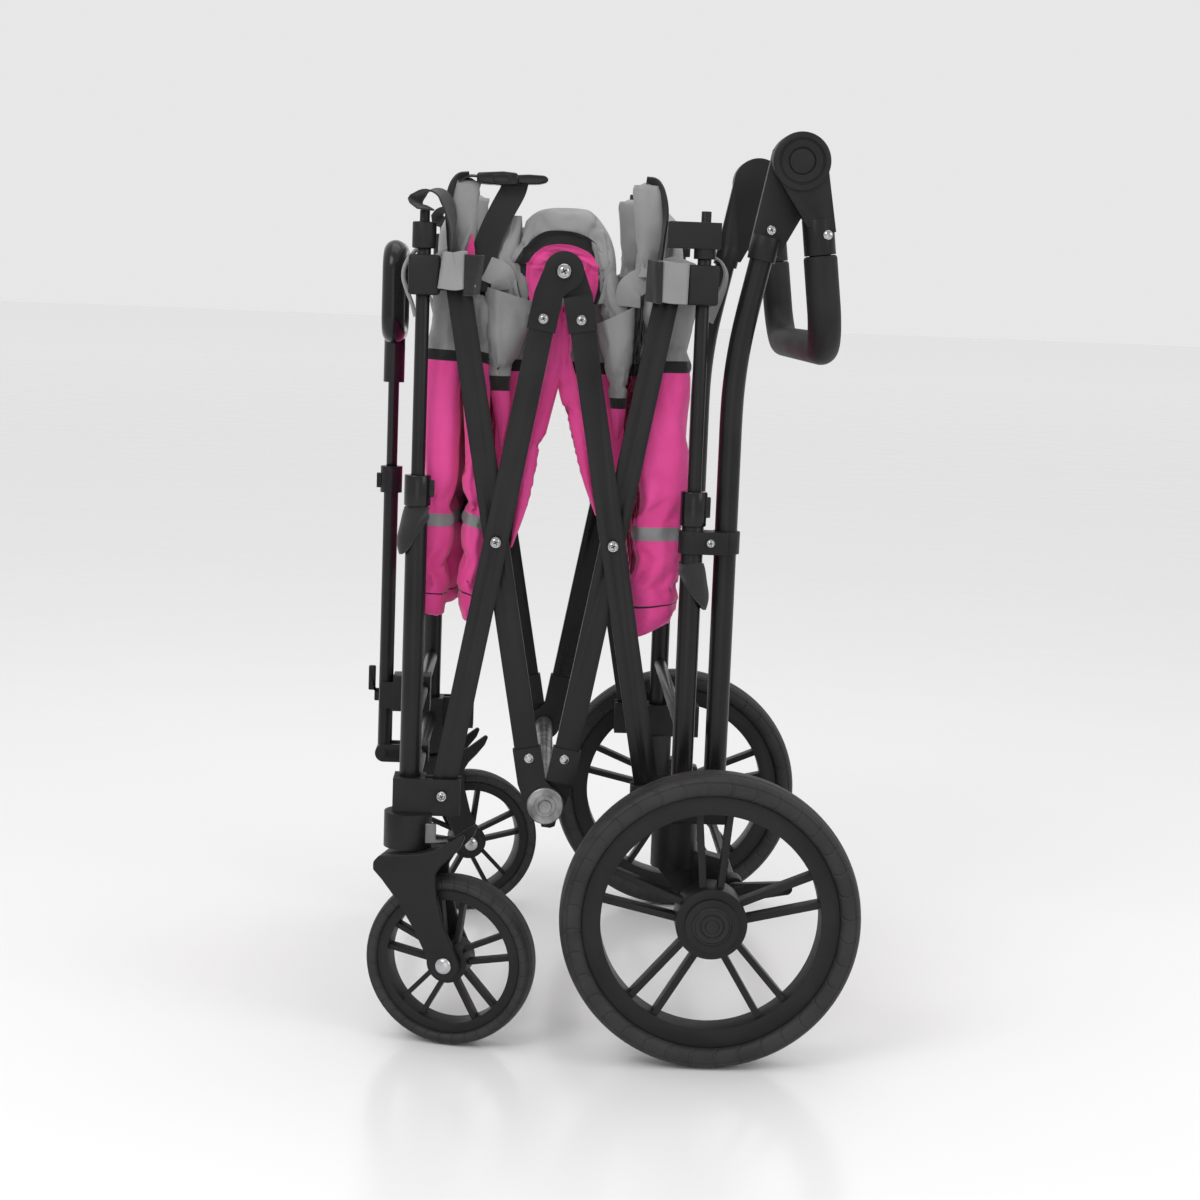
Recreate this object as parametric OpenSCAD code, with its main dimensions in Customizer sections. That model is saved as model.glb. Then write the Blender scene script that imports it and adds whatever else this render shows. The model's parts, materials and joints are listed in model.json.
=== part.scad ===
// Folding pet stroller with an accordion basket, standing in its folded position.
// Row frame: +X to the push handle (rear), +Y to the stroller's right, +Z up.

/* [Folding frame] */
// Distance from the middle plane to each plane of posts
plane_y = 222; // [200:1:240]
// Place of the two scissor hubs along X
hub_x = -60; // [-70:1:-50]
// Distance between the front and the rear posts when folded
post_gap = 280; // [270:1:300]
// Height of the lower bar pivots
pivot_z = 257; // [250:1:265]
// Rise of a bar from its end pivot to its crossing
end_rise = 262.5; // [255:0.5:270]
// Run of a bar from its end pivot to its crossing
end_run = 47; // [44:0.5:50]
// Rise of a bar from its crossing to its hub
hub_rise = 273; // [268:0.5:276]
// Run of a bar from its crossing to its hub
hub_run = 59.3; // [57:0.1:61]
// Width of a scissor bar
bar_w = 25; // [20:1:27]

/* [Posts] */
// Radius of the lower legs
leg_r = 11; // [10:0.5:12]
// Radius of the telescoping posts
post_r = 7; // [6:0.5:7.5]
// Top of the rear legs
rear_leg_top = 560; // [540:1:570]
// Top of the front legs
front_leg_top = 567; // [540:1:575]

/* [Wheels] */
// Radius of the rear tyres
rear_r = 152.4; // [140:0.1:155]
// Place of the rear axle along X
axle_x = 109.5; // [105:0.5:115]
// Distance from the middle plane to the rear wheels
rear_wheel_y = 297; // [290:1:305]
// Width of the rear tyres
rear_tyre_w = 44; // [36:1:46]
// Radius of the caster tyres
front_r = 88.5; // [80:0.5:90]
// Width of the caster tyres
front_tyre_w = 34; // [28:1:36]
// Distance from the middle plane to the caster stems
stem_y = 236; // [232:1:240]
// Trail of the caster wheels behind their stems
trail = 50; // [45:1:55]
// Angle that each caster is turned outwards
caster_turn = 14; // [0:1:20]

/* [Handles] */
// Place of the push handle's tubes along X
handle_x = 115; // [112:1:118]
// Distance from the middle plane to the push handle's tubes
handle_y = 212; // [208:1:214]
// Place of the push handle's joints along X
joint_x = 172.3; // [170:0.1:175]
// Height of the push handle's joints
joint_z = 909.8; // [900:0.1:915]
// Radius of the push handle's joint discs
joint_r = 29; // [26:0.5:30]
// Place of the pull handle's tube along X
pull_x = -241; // [-243:1:-240]
// Height of the pull handle's pivot
pull_z = 251; // [248:1:254]

/* [Basket] */
// Height of the lower edge of the folded basket
basket_low = 436; // [430:1:440]
// Height of the upper edge of the folded basket
basket_top = 872; // [860:1:880]
// Half the inner width of the basket
basket_y = 200; // [190:1:201]
// Length of each floor board
board_len = 340; // [320:1:345]

/* [Hidden] */
$fn = 48;

rear_x = hub_x + post_gap / 2;
front_x = hub_x - post_gap / 2;
rear_pivot_x = hub_x + hub_run + end_run;
rear_cross_x = hub_x + hub_run;
fork_end_x = rear_pivot_x + 17.2;
cross_z = pivot_z + end_rise;
slider_z = pivot_z + 2 * end_rise;
top_hub_z = cross_z + hub_rise;
low_hub_z = cross_z - hub_rise;
bar_lean = atan(end_run / end_rise);
end_len = norm([end_run, end_rise]);
hub_along = hub_run * sin(bar_lean) + hub_rise * cos(bar_lean);
hub_across = hub_run * cos(bar_lean) - hub_rise * sin(bar_lean);
hub_len = end_len + hub_along;
bar_t = 11;
bar_wall = 1.5;
bar_past = 10;
outer_y = plane_y + 7;
inner_y = plane_y - 7;
tongue_t = 6.3;
pin_r = 3;
hub_pin_r = 5;
run_fit = 0.05;
slide_fit = 1;
collar_fit = 0.4;
steel = [0.16, 0.16, 0.17];
plastic = [0.1, 0.1, 0.11];
chrome = [0.75, 0.75, 0.77];
rubber = [0.14, 0.14, 0.14];
pink = [0.9, 0.24, 0.56];
grey_cloth = [0.5, 0.5, 0.5];

// Both sides of the stroller, from a shape on its right side
module both_sides() {
    children();
    mirror([0, 1, 0]) children();
}

// The side that a number names: 1 right, -1 left
module on_side(side) {
    mirror([0, side < 0 ? 1 : 0, 0]) children();
}

// The front half, from a shape in the rear half
module at_front() {
    translate([2 * hub_x, 0, 0]) mirror([1, 0, 0]) children();
}

// A shape turned upside down about the height of the bar crossings
module flipped() {
    translate([0, 0, 2 * cross_z]) mirror([0, 0, 1]) children();
}

// A round bar along Y between two distances from the middle plane
module y_rod(x, z, r, y0, y1) {
    translate([x, y0, z]) rotate([-90, 0, 0]) cylinder(r = r, h = y1 - y0);
}

// A round bar along Z
module z_rod(x, y, r, z0, z1) {
    translate([x, y, z0]) cylinder(r = r, h = z1 - z0);
}

// A box between two corners
module box(a, b) {
    translate(a) cube(b - a);
}

// An outline in X and Z, made solid between two distances from the middle plane
module slab(points, y0, y1) {
    translate([0, y1, 0]) rotate([90, 0, 0]) linear_extrude(y1 - y0) polygon(points);
}

// ---- Legs, posts and collars ----

module leg(x, z1) {
    difference() {
        z_rod(x, plane_y, leg_r, 241, z1);
        z_rod(x, plane_y, leg_r - 2, 240, z1 + 1);
    }
}

module collar(x, z0, z1) {
    step_z = z0 + 18;
    difference() {
        union() {
            z_rod(x, plane_y, leg_r + 2.5, z0, z1);
            box([x + 9, plane_y - 5, z0 + 9], [x + 17, plane_y + 5, z1 - 5]);
        }
        z_rod(x, plane_y, leg_r + 0.1, z0 - 1, step_z);
        z_rod(x, plane_y, post_r + collar_fit, z0 - 1, z1 + 1);
    }
}

module post(x, z0, z1) {
    difference() {
        z_rod(x, plane_y, post_r, z0, z1);
        z_rod(x, plane_y, post_r - 1.2, z0 - 1, z1 + 1);
    }
}

module rear_legs() color(steel) both_sides() leg(rear_x, rear_leg_top);
module front_legs() color(steel) both_sides() leg(front_x, front_leg_top);
module rear_collars() color(plastic) both_sides() collar(rear_x, 542, 577);
module front_collars() color(plastic) both_sides() collar(front_x, 553, 584);
module rear_posts() color(steel) both_sides() post(rear_x, 430, 836);
module front_posts() color(steel) both_sides() post(front_x, 430, 828);

module rear_post_caps() color(plastic) both_sides() difference() {
    union() {
        z_rod(rear_x, plane_y, 11, 810, 824);
        box([rear_x - 37, plane_y - 13, 820], [rear_x + 15, plane_y + 13, 846]);
        z_rod(rear_x, plane_y, 5, 840, 857);
    }
    z_rod(rear_x, plane_y, post_r + 0.1, 809, 836.1);
}

module front_post_caps() color(plastic) both_sides() difference() {
    union() {
        z_rod(front_x, plane_y, 12, 810, 836);
        z_rod(front_x, plane_y, 5, 835, 848);
    }
    z_rod(front_x, plane_y, post_r + 0.1, 809, 828.1);
}

// ---- Scissor bars: each is drawn from its end pivot up to its hub ----

module in_rear_bar() {
    translate([rear_pivot_x, 0, pivot_z]) rotate([0, -bar_lean, 0]) mirror([1, 0, 0]) children();
}

module bar_tube(y) {
    tube_top = hub_len - 42;
    difference() {
        box([-bar_w / 2, y - bar_t / 2, -bar_past], [bar_w / 2, y + bar_t / 2, tube_top]);
        box([-bar_w / 2 + bar_wall, y - bar_t / 2 + bar_wall, -bar_past - 1],
            [bar_w / 2 - bar_wall, y + bar_t / 2 - bar_wall, tube_top + 1]);
        y_rod(0, 0, pin_r + run_fit, y - bar_t, y + bar_t);
        y_rod(0, end_len, pin_r + run_fit, y - bar_t, y + bar_t);
    }
}

module bar_fitting(y, tongue_y) {
    sleeve_low = hub_len - 62;
    sleeve_top = hub_len - 26;
    difference() {
        union() {
            box([-bar_w / 2 - 2, y - bar_t / 2 - 1, sleeve_low],
                [bar_w / 2 + 2, y + bar_t / 2 + 1, sleeve_top]);
            slab([[-bar_w / 2 - 2, sleeve_top - 6], [bar_w / 2 + 2, sleeve_top - 6],
                [bar_w / 2 + 2, sleeve_top],
                [hub_across + 20, hub_len], [hub_across - 20, hub_len], [-bar_w / 2 - 2, sleeve_top]],
                tongue_y - tongue_t / 2, tongue_y + tongue_t / 2);
            y_rod(hub_across, hub_len, 20, tongue_y - tongue_t / 2, tongue_y + tongue_t / 2);
        }
        box([-bar_w / 2 - 0.1, y - bar_t / 2 - 0.1, sleeve_low - 1],
            [bar_w / 2 + 0.1, y + bar_t / 2 + 0.1, hub_len - 41.9]);
        y_rod(hub_across, hub_len, hub_pin_r + run_fit, plane_y - 40, plane_y + 40);
    }
}

// A domed screw along Y, its head on the outside, that holds two bars
module cross_screw(x, z) {
    y_rod(x, z, pin_r, plane_y - 15, plane_y + 13.5);
    y_rod(x, z, 5.5, outer_y + bar_t / 2 + 0.1, outer_y + bar_t / 2 + 3);
    y_rod(x, z, 6, plane_y - 1.3, plane_y + 1.3);
    y_rod(x, z, 5.5, inner_y - bar_t / 2 - 3, inner_y - bar_t / 2 - 0.1);
}

module fitting_screws(y_out) {
    y_rod(0, hub_len - 50, 5, y_out + 0.05, y_out + 2.2);
}

module rear_outer_bars() color(steel) both_sides() in_rear_bar() bar_tube(outer_y);
module rear_inner_bars() color(steel) both_sides() flipped() in_rear_bar() bar_tube(inner_y);
module front_outer_bars() color(steel) both_sides() at_front() in_rear_bar() bar_tube(outer_y);
module front_inner_bars() color(steel) both_sides() at_front() flipped() in_rear_bar() bar_tube(inner_y);

module rear_outer_fittings() color(plastic) both_sides() in_rear_bar() bar_fitting(outer_y, outer_y - 3.4);
module rear_inner_fittings() color(plastic) both_sides() flipped() in_rear_bar()
    bar_fitting(inner_y, inner_y - 3.4);
module front_outer_fittings() color(plastic) both_sides() at_front() in_rear_bar()
    bar_fitting(outer_y, outer_y + 3.4);
module front_inner_fittings() color(plastic) both_sides() at_front() flipped() in_rear_bar()
    bar_fitting(inner_y, inner_y + 3.4);

module rear_cross_screws() color(chrome) both_sides() {
    cross_screw(rear_cross_x, cross_z);
    in_rear_bar() fitting_screws(outer_y + bar_t / 2 + 1);
}

module front_cross_screws() color(chrome) both_sides() {
    at_front() {
        cross_screw(rear_cross_x, cross_z);
        in_rear_bar() fitting_screws(outer_y + bar_t / 2 + 1);
    }
    y_rod(hub_x, top_hub_z, hub_pin_r, plane_y - 3, plane_y + 15);
    y_rod(hub_x, top_hub_z, 7, outer_y + 6.7, outer_y + 10);
    y_rod(hub_x, top_hub_z, 8, plane_y - 4, plane_y + 0.2);
}

module bottom_hub() color(steel) {
    y_rod(hub_x, low_hub_z, 10, -inner_y + 7, inner_y - 7);
    both_sides() {
        y_rod(hub_x, low_hub_z, hub_pin_r, inner_y - 8, plane_y + 4);
        y_rod(hub_x, low_hub_z, 19, plane_y + 0.4, plane_y + 6);
        y_rod(hub_x, low_hub_z, 7, plane_y + 5, plane_y + 9);
    }
}

// ---- Sliders that carry the basket rim ----

module slider() {
    low = slider_z - 18;
    high = slider_z + 22;
    difference() {
        box([fork_end_x, plane_y - 18, low], [rear_x + 14.5, plane_y + 14, high]);
        box([rear_x - post_r - slide_fit, plane_y - post_r - slide_fit, low - 1],
            [rear_x + post_r + slide_fit, plane_y + post_r + slide_fit, high + 1]);
    }
}

// The two plates and the pin that join a slider to the top of a bar
module slider_fork() {
    for (y = [plane_y - 18, plane_y + 0.3]) {
        box([rear_pivot_x, y, slider_z - 13], [fork_end_x, y + 4.7, slider_z + 13]);
        y_rod(rear_pivot_x, slider_z, 13, y, y + 4.7);
    }
    y_rod(rear_pivot_x, slider_z, pin_r, plane_y - 19, plane_y + 7);
}

module rear_sliders() color(plastic) both_sides() slider();
module rear_slider_forks() color(plastic) both_sides() slider_fork();
module front_sliders() color(plastic) both_sides() at_front() slider();
module front_slider_forks() color(plastic) both_sides() at_front() slider_fork();

// ---- Corner brackets ----

module corner_block(length) {
    web_x = rear_pivot_x + 18;
    difference() {
        union() {
            box([web_x, plane_y - 17, 236], [web_x + length, plane_y + 18, 274]);
            box([rear_pivot_x - 19, plane_y - 4.5, 236], [web_x + 1, plane_y + 0.8, 274]);
            box([rear_pivot_x - 19, plane_y + 13.4, 236], [web_x + 1, plane_y + 18, 274]);
        }
        z_rod(rear_x, plane_y, leg_r + 0.1, 240, 275);
        y_rod(rear_pivot_x, pivot_z, pin_r + run_fit, plane_y - 20, plane_y + 20);
    }
}

module axle_arm() {
    difference() {
        union() {
            z_rod(75, plane_y, 23.5, 188, 237);
            slab([[56, 190], [98, 205], [132, 196], [axle_x + 17, 148], [axle_x - 16, 146]],
                plane_y - 10, plane_y + 12);
            y_rod(axle_x, rear_r, 17, plane_y - 12, plane_y + 18);
            y_rod(138, 168, 11, plane_y - 10, plane_y + 12);
        }
        y_rod(axle_x, rear_r, 6 + run_fit, plane_y - 20, plane_y + 20);
        y_rod(138, 168, 5 + run_fit, plane_y - 20, plane_y + 20);
    }
}

module rear_corner_brackets() color(plastic) both_sides() {
    difference() {
        union() {
            corner_block(66);
            axle_arm();
        }
        z_rod(handle_x, handle_y, leg_r + 0.6, 240, 275);
    }
}

module front_corner_brackets() color(plastic) both_sides() difference() {
    union() {
        at_front() corner_block(32);
        z_rod(front_x, stem_y, 24.5, 204, 240);
    }
    z_rod(front_x, stem_y, 8 + run_fit, 203, 233);
}

module rear_axle() color(steel) {
    y_rod(axle_x, rear_r, 9, -plane_y + 12.2, plane_y - 12.2);
    y_rod(axle_x, rear_r, 6, -rear_wheel_y - 25, rear_wheel_y + 25);
}

module cross_tube(x, z, half) {
    difference() {
        y_rod(x, z, 7, -half, half);
        y_rod(x, z, 5.5, -half - 1, half + 1);
    }
}

module rear_cross_tube() color(steel) cross_tube(rear_x, 326, plane_y - leg_r - 0.2);

module front_cross_tubes() color(steel) {
    cross_tube(front_x, 326, plane_y - leg_r - 0.2);
    cross_tube(front_x, pull_z, plane_y - 17.2);
}

module side_screw(x, z, y, depth) {
    y_rod(x, z, pin_r, y - depth, y + 1);
    y_rod(x, z, 5, y, y + 2.6);
}

module front_frame_screws() color(chrome) both_sides() at_front()
    side_screw(rear_pivot_x, pivot_z, plane_y + 18.1, 23);

module rear_frame_screws() color(chrome) both_sides() {
    side_screw(rear_pivot_x, pivot_z, plane_y + 18.1, 23);
    y_rod(rear_x + 18, 526, 4, plane_y + 12.7, plane_y + 15);
    y_rod(145, 841, 4.5, handle_y + 14.4, handle_y + 16.5);
}

// ---- Push handle ----

bend_z = 650;
bend_angle = 12;
bend_r = 530;
upper_len = 70;

// The upper stretch of a handle tube, where it leans back, from its lower end
module in_upper_handle() {
    translate([handle_x + bend_r * (1 - cos(bend_angle)), handle_y, bend_z + bend_r * sin(bend_angle)])
        rotate([0, bend_angle, 0]) children();
}

module handle_bend(r) {
    translate([handle_x + bend_r, handle_y, bend_z]) rotate([90, 0, 0]) rotate([0, 0, 180 - bend_angle])
        rotate_extrude(angle = bend_angle, $fn = 96) translate([bend_r, 0]) circle(r);
}

module handle_path(r, past) {
    z_rod(handle_x, handle_y, r, 241 - past, bend_z);
    z_rod(handle_x, handle_y, r - 0.3, bend_z - 1, bend_z + 1);
    handle_bend(r);
    in_upper_handle() translate([0, 0, -1]) cylinder(r = r - 0.3, h = 2);
    in_upper_handle() cylinder(r = r, h = upper_len + past);
}

module handle_tubes() color(steel) both_sides() difference() {
    handle_path(11.5, 0);
    handle_path(9.8, 1);
}

module handle_clamps() color(plastic) both_sides() difference() {
    union() {
        z_rod(rear_x, plane_y, 14, 514, 537);
        z_rod(handle_x, handle_y, 14.5, 514, 537);
        box([rear_x, handle_y - 4, 514], [handle_x, plane_y + 12.6, 537]);
    }
    z_rod(rear_x, plane_y, leg_r + 0.1, 513, 538);
    z_rod(handle_x, handle_y, 11.6, 513, 538);
}

module handle_joint_bases() color(plastic) both_sides() difference() {
    union() {
        in_upper_handle() translate([0, 0, upper_len - 18]) cylinder(r = 14.3, h = 24);
        slab([[125, 820], [155, 816], [joint_x + 27, joint_z - 12], [joint_x - 27, joint_z + 12]],
            handle_y - 13, handle_y - 0.3);
        y_rod(joint_x, joint_z, joint_r, handle_y - 13, handle_y - 0.3);
    }
    in_upper_handle() translate([0, 0, -1]) cylinder(r = 11.6, h = upper_len + 1.1);
}

grip_top_x = 195;
grip_top_z = 834;
grip_lean = 7.1;
grip_drop = 110;
grip_bend = 46;

module in_grip() {
    translate([grip_top_x, 0, grip_top_z]) rotate([0, -grip_lean, 0]) children();
}

module u_path(r, top) {
    both_sides() {
        z_rod(0, handle_y, r, -grip_drop + grip_bend, top);
        translate([0, handle_y - grip_bend, -grip_drop + grip_bend]) rotate([0, 90, 0])
            rotate_extrude(angle = 90, $fn = 96) translate([grip_bend, 0]) circle(r);
    }
    y_rod(0, -grip_drop, r, -handle_y + grip_bend, handle_y - grip_bend);
}

module handle_bar() color(steel) in_grip() u_path(11, 14);

module handle_grip() color(rubber) in_grip() difference() {
    u_path(17, -16);
    u_path(11.1, 0);
}

module handle_joint_arms() color(plastic) both_sides() difference() {
    union() {
        in_grip() z_rod(0, handle_y, 16, -15.5, 20);
        slab([[181, 846], [210, 842], [joint_x + 27.5, joint_z - 9], [joint_x - 20, joint_z - 21]],
            handle_y + 0.3, handle_y + 14);
        y_rod(joint_x, joint_z, joint_r, handle_y + 0.3, handle_y + 14);
    }
    in_grip() z_rod(0, handle_y, 11.1, -30, 14.1);
    y_rod(joint_x, joint_z, 13.4, handle_y + 5, handle_y + 15);
}

module handle_button(side) {
    on_side(side) y_rod(joint_x, joint_z, 13, handle_y + 9, handle_y + 17);
}

module handle_button_left() color(plastic) handle_button(-1);
module handle_button_right() color(plastic) handle_button(1);

// ---- Pull handle ----

module pull_tube() color(steel) difference() {
    union() {
        z_rod(pull_x, 0, 8, pull_z + 8, 570);
        y_rod(pull_x, pull_z, 10, -8, 8);
        z_rod(pull_x, 0, 12, 545, 574);
        box([pull_x - 16, -4, 550], [pull_x - 9, 4, 566]);
    }
    z_rod(pull_x, 0, 6.4, pull_z + 14, 575);
    y_rod(pull_x, pull_z, 4 + run_fit, -20, 20);
}

module grip_path(r) {
    half = 42;
    low = 722;
    high = 809;
    round_r = 20;
    both_sides() {
        z_rod(pull_x, half, r, low + round_r, high - round_r);
        translate([pull_x, half - round_r, high - round_r]) rotate([0, -90, 0])
            rotate_extrude(angle = 90, $fn = 64) translate([round_r, 0]) circle(r);
        translate([pull_x, half - round_r, low + round_r]) rotate([0, 90, 0])
            rotate_extrude(angle = 90, $fn = 64) translate([round_r, 0]) circle(r);
    }
    for (z = [low, high]) y_rod(pull_x, z, r, -half + round_r, half - round_r);
}

module pull_grip() color(plastic) {
    grip_path(12.5);
    z_rod(pull_x, 0, 11.5, 667, 715);
    z_rod(pull_x, 0, 6, 350, 680);
}

module pull_handle_brackets() color(plastic) difference() {
    union() {
        for (y = [-13, 8.4]) {
            box([pull_x, y, pull_z - 10], [front_x - 6, y + 4.6, pull_z + 10]);
            y_rod(pull_x, pull_z, 10, y, y + 4.6);
        }
        box([front_x - 16, -13, pull_z - 10], [front_x + 9, 13, pull_z + 10]);
        y_rod(pull_x, pull_z, 4, -14.5, 14.5);
        box([pull_x + 8.6, -16, 300], [front_x + 9, 16, 340]);
        for (y = [-12, 8.6]) box([pull_x - 6, y, 302], [pull_x + 9, y + 3.4, 332]);
    }
    for (z = [pull_z, 326]) y_rod(front_x, z, 7.1, -20, 20);
}

module pull_latch() color(plastic) {
    box([pull_x - 14, 12.3, 306], [pull_x + 5, 18, 320]);
    box([-261.9, 12.3, 318], [-254, 18, 346]);
    y_rod(-245, 313, 5.5, 12.3, 18);
}

// ---- Casters ----

module in_caster(side) {
    translate([front_x, side * stem_y, 0]) rotate([0, 0, side * caster_turn]) children();
}

module fork() {
    cheek = front_tyre_w / 2 + 2.5;
    axle_z = front_r;
    difference() {
        union() {
            z_rod(0, 0, 8, 190, 231);
            slab([[-26, 186], [26, 196], [62, 214], [62, 203], [26, 188], [-26, 176]], -cheek - 5, cheek + 5);
            z_rod(0, 0, 22, 180, 203.5);
            for (y = [-cheek - 5, cheek]) {
                slab([[-26, 184], [-14, 150], [trail - 12, axle_z - 4], [trail + 12, axle_z + 2], [64, 150],
                    [62, 210], [26, 194]], y, y + 5);
                y_rod(trail, axle_z, 12.5, y, y + 5);
            }
        }
        y_rod(trail, axle_z, front_r + 4, -cheek, cheek);
    }
    y_rod(trail, axle_z, 5, -cheek - 6, cheek + 6);
    for (y = [-cheek - 9, cheek + 5]) y_rod(trail, axle_z, 8, y, y + 4);
}

// Spokes in pairs that spread from the hub to the rim
module spokes(hub_radius, rim_radius, blade_w, blade_t, gap, spread) {
    blade = rim_radius - hub_radius + 8;
    for (turn = [0:72:359], side = [-1, 1])
        rotate([0, turn, 0]) translate([side * gap / 2, 0, hub_radius - 5]) rotate([0, side * spread, 0])
            translate([-blade_w / 2, -blade_t / 2, 0]) cube([blade_w, blade_t, blade]);
}

module ring(r0, r1, w) {
    rotate([90, 0, 0]) rotate_extrude($fn = 96) translate([r0, -w / 2]) square([r1 - r0, w]);
}

module tyre(r0, r1, w) {
    crown_r = w * 0.6;
    rotate([90, 0, 0]) rotate_extrude($fn = 96) intersection() {
        translate([r0, -w / 2]) square([r1 - r0, w]);
        translate([r1 - crown_r, 0]) circle(crown_r, $fn = 96);
    }
}

module front_wheel(side) {
    in_caster(side) translate([trail, 0, front_r]) difference() {
        union() {
            ring(65, 74.9, 26);
            rotate([90, 0, 0]) cylinder(r = 21, h = front_tyre_w, center = true);
            spokes(21, 65, 5, 12, 13, 7);
        }
        rotate([90, 0, 0]) cylinder(r = 5 + run_fit, h = 60, center = true);
    }
}

module front_tyre(side) {
    in_caster(side) translate([trail, 0, front_r]) tyre(75, front_r, front_tyre_w);
}

// A spring clip on the housing of each caster that stops its swivel
module swivel_lock(side) {
    on_side(side) {
        box([front_x + 19, stem_y + 20.5, 212], [front_x + 30, stem_y + 25, 233]);
        box([front_x + 27, stem_y + 20.5, 212], [front_x + 42, stem_y + 25, 216]);
    }
}

module caster_fork_left() color(plastic) in_caster(-1) fork();
module caster_fork_right() color(plastic) in_caster(1) fork();
module front_wheel_left() color(plastic) front_wheel(-1);
module front_wheel_right() color(plastic) front_wheel(1);
module front_tyre_left() color(rubber) front_tyre(-1);
module front_tyre_right() color(rubber) front_tyre(1);
module swivel_lock_left() color(chrome) swivel_lock(-1);
module swivel_lock_right() color(chrome) swivel_lock(1);

// ---- Rear wheels and brake ----

module rear_wheel(side) {
    translate([axle_x, side * rear_wheel_y, rear_r]) difference() {
        union() {
            ring(111, 129.6, 30);
            rotate([90, 0, 0]) cylinder(r = 36, h = rear_tyre_w - 4, center = true);
            spokes(36, 111, 6.5, 16, 17, 5);
        }
        rotate([90, 0, 0]) cylinder(r = 6 + run_fit, h = 60, center = true);
    }
    translate([axle_x, side * (rear_wheel_y + 26.5), rear_r]) rotate([90, 0, 0])
        cylinder(r = 20, h = 2.5, center = true);
    translate([axle_x, side * (rear_wheel_y + 23), rear_r]) ring(17, 27, 7);
}

module rear_tyre(side) {
    translate([axle_x, side * rear_wheel_y, rear_r]) tyre(129.7, rear_r, rear_tyre_w);
}

module rear_wheel_left() color(plastic) rear_wheel(-1);
module rear_wheel_right() color(plastic) rear_wheel(1);
module rear_tyre_left() color(rubber) rear_tyre(-1);
module rear_tyre_right() color(rubber) rear_tyre(1);

module brake_bar() color(steel) {
    y_rod(138, 168, 5, -plane_y - 36, plane_y + 36);
    both_sides() {
        slab([[136, 158], [136, 178], [190, 181], [190, 168]], plane_y + 26, plane_y + 34);
        y_rod(190, 174.5, 6.5, plane_y + 26, plane_y + 34);
        y_rod(138, 168, 10, plane_y + 26, plane_y + 34);
    }
}

// ---- Basket ----

wall_gap = 12;
wall_t = 38;

module basket_wall() {
    box([rear_x - wall_gap - wall_t, -basket_y, basket_low], [rear_x - wall_gap, basket_y, basket_top]);
}

module side_fold(side) {
    on_side(side) box([hub_x - 68, basket_y - 40, 560], [hub_x + 68, basket_y, 851]);
}

module floor_board() {
    edge_x = rear_x - wall_gap - wall_t - 9;
    box([edge_x - 5, -150, 445], [edge_x + 5, 150, 445 + board_len]);
}

module rear_basket_wall() color(pink) basket_wall();
module front_basket_wall() color(pink) at_front() basket_wall();
module side_fold_left() color(grey_cloth) side_fold(-1);
module side_fold_right() color(grey_cloth) side_fold(1);
module front_side_liner() color(pink) both_sides() at_front()
    box([rear_x - wall_gap - wall_t - 15, basket_y - 40, 440],
        [rear_x - wall_gap - wall_t - 3, basket_y, 760]);
module rear_floor_board() color(grey_cloth) floor_board();
module front_floor_board() color(grey_cloth) at_front() floor_board();

rear_legs();
rear_collars();
rear_corner_brackets();
rear_axle();
rear_cross_tube();
handle_tubes();
handle_clamps();
handle_joint_bases();
rear_frame_screws();
handle_joint_arms();
handle_bar();
handle_grip();
handle_button_left();
handle_button_right();
rear_outer_bars();
rear_outer_fittings();
rear_cross_screws();
rear_inner_bars();
rear_inner_fittings();
front_outer_bars();
front_outer_fittings();
front_cross_screws();
front_inner_bars();
front_inner_fittings();
bottom_hub();
rear_sliders();
rear_slider_forks();
front_sliders();
front_slider_forks();
rear_posts();
rear_post_caps();
front_posts();
front_post_caps();
front_legs();
front_collars();
front_corner_brackets();
front_cross_tubes();
pull_handle_brackets();
front_frame_screws();
caster_fork_left();
caster_fork_right();
front_wheel_left();
front_wheel_right();
front_tyre_left();
front_tyre_right();
swivel_lock_left();
swivel_lock_right();
rear_wheel_left();
rear_wheel_right();
rear_tyre_left();
rear_tyre_right();
pull_tube();
pull_grip();
pull_latch();
brake_bar();
front_basket_wall();
rear_basket_wall();
side_fold_left();
side_fold_right();
front_side_liner();
front_floor_board();
rear_floor_board();
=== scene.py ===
"""The folded pet stroller's looks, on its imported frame. Sizes in the shape functions are in millimetres."""
import json
import math
import bpy
import bmesh
import numpy as np
from mathutils import Matrix, Vector

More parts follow.
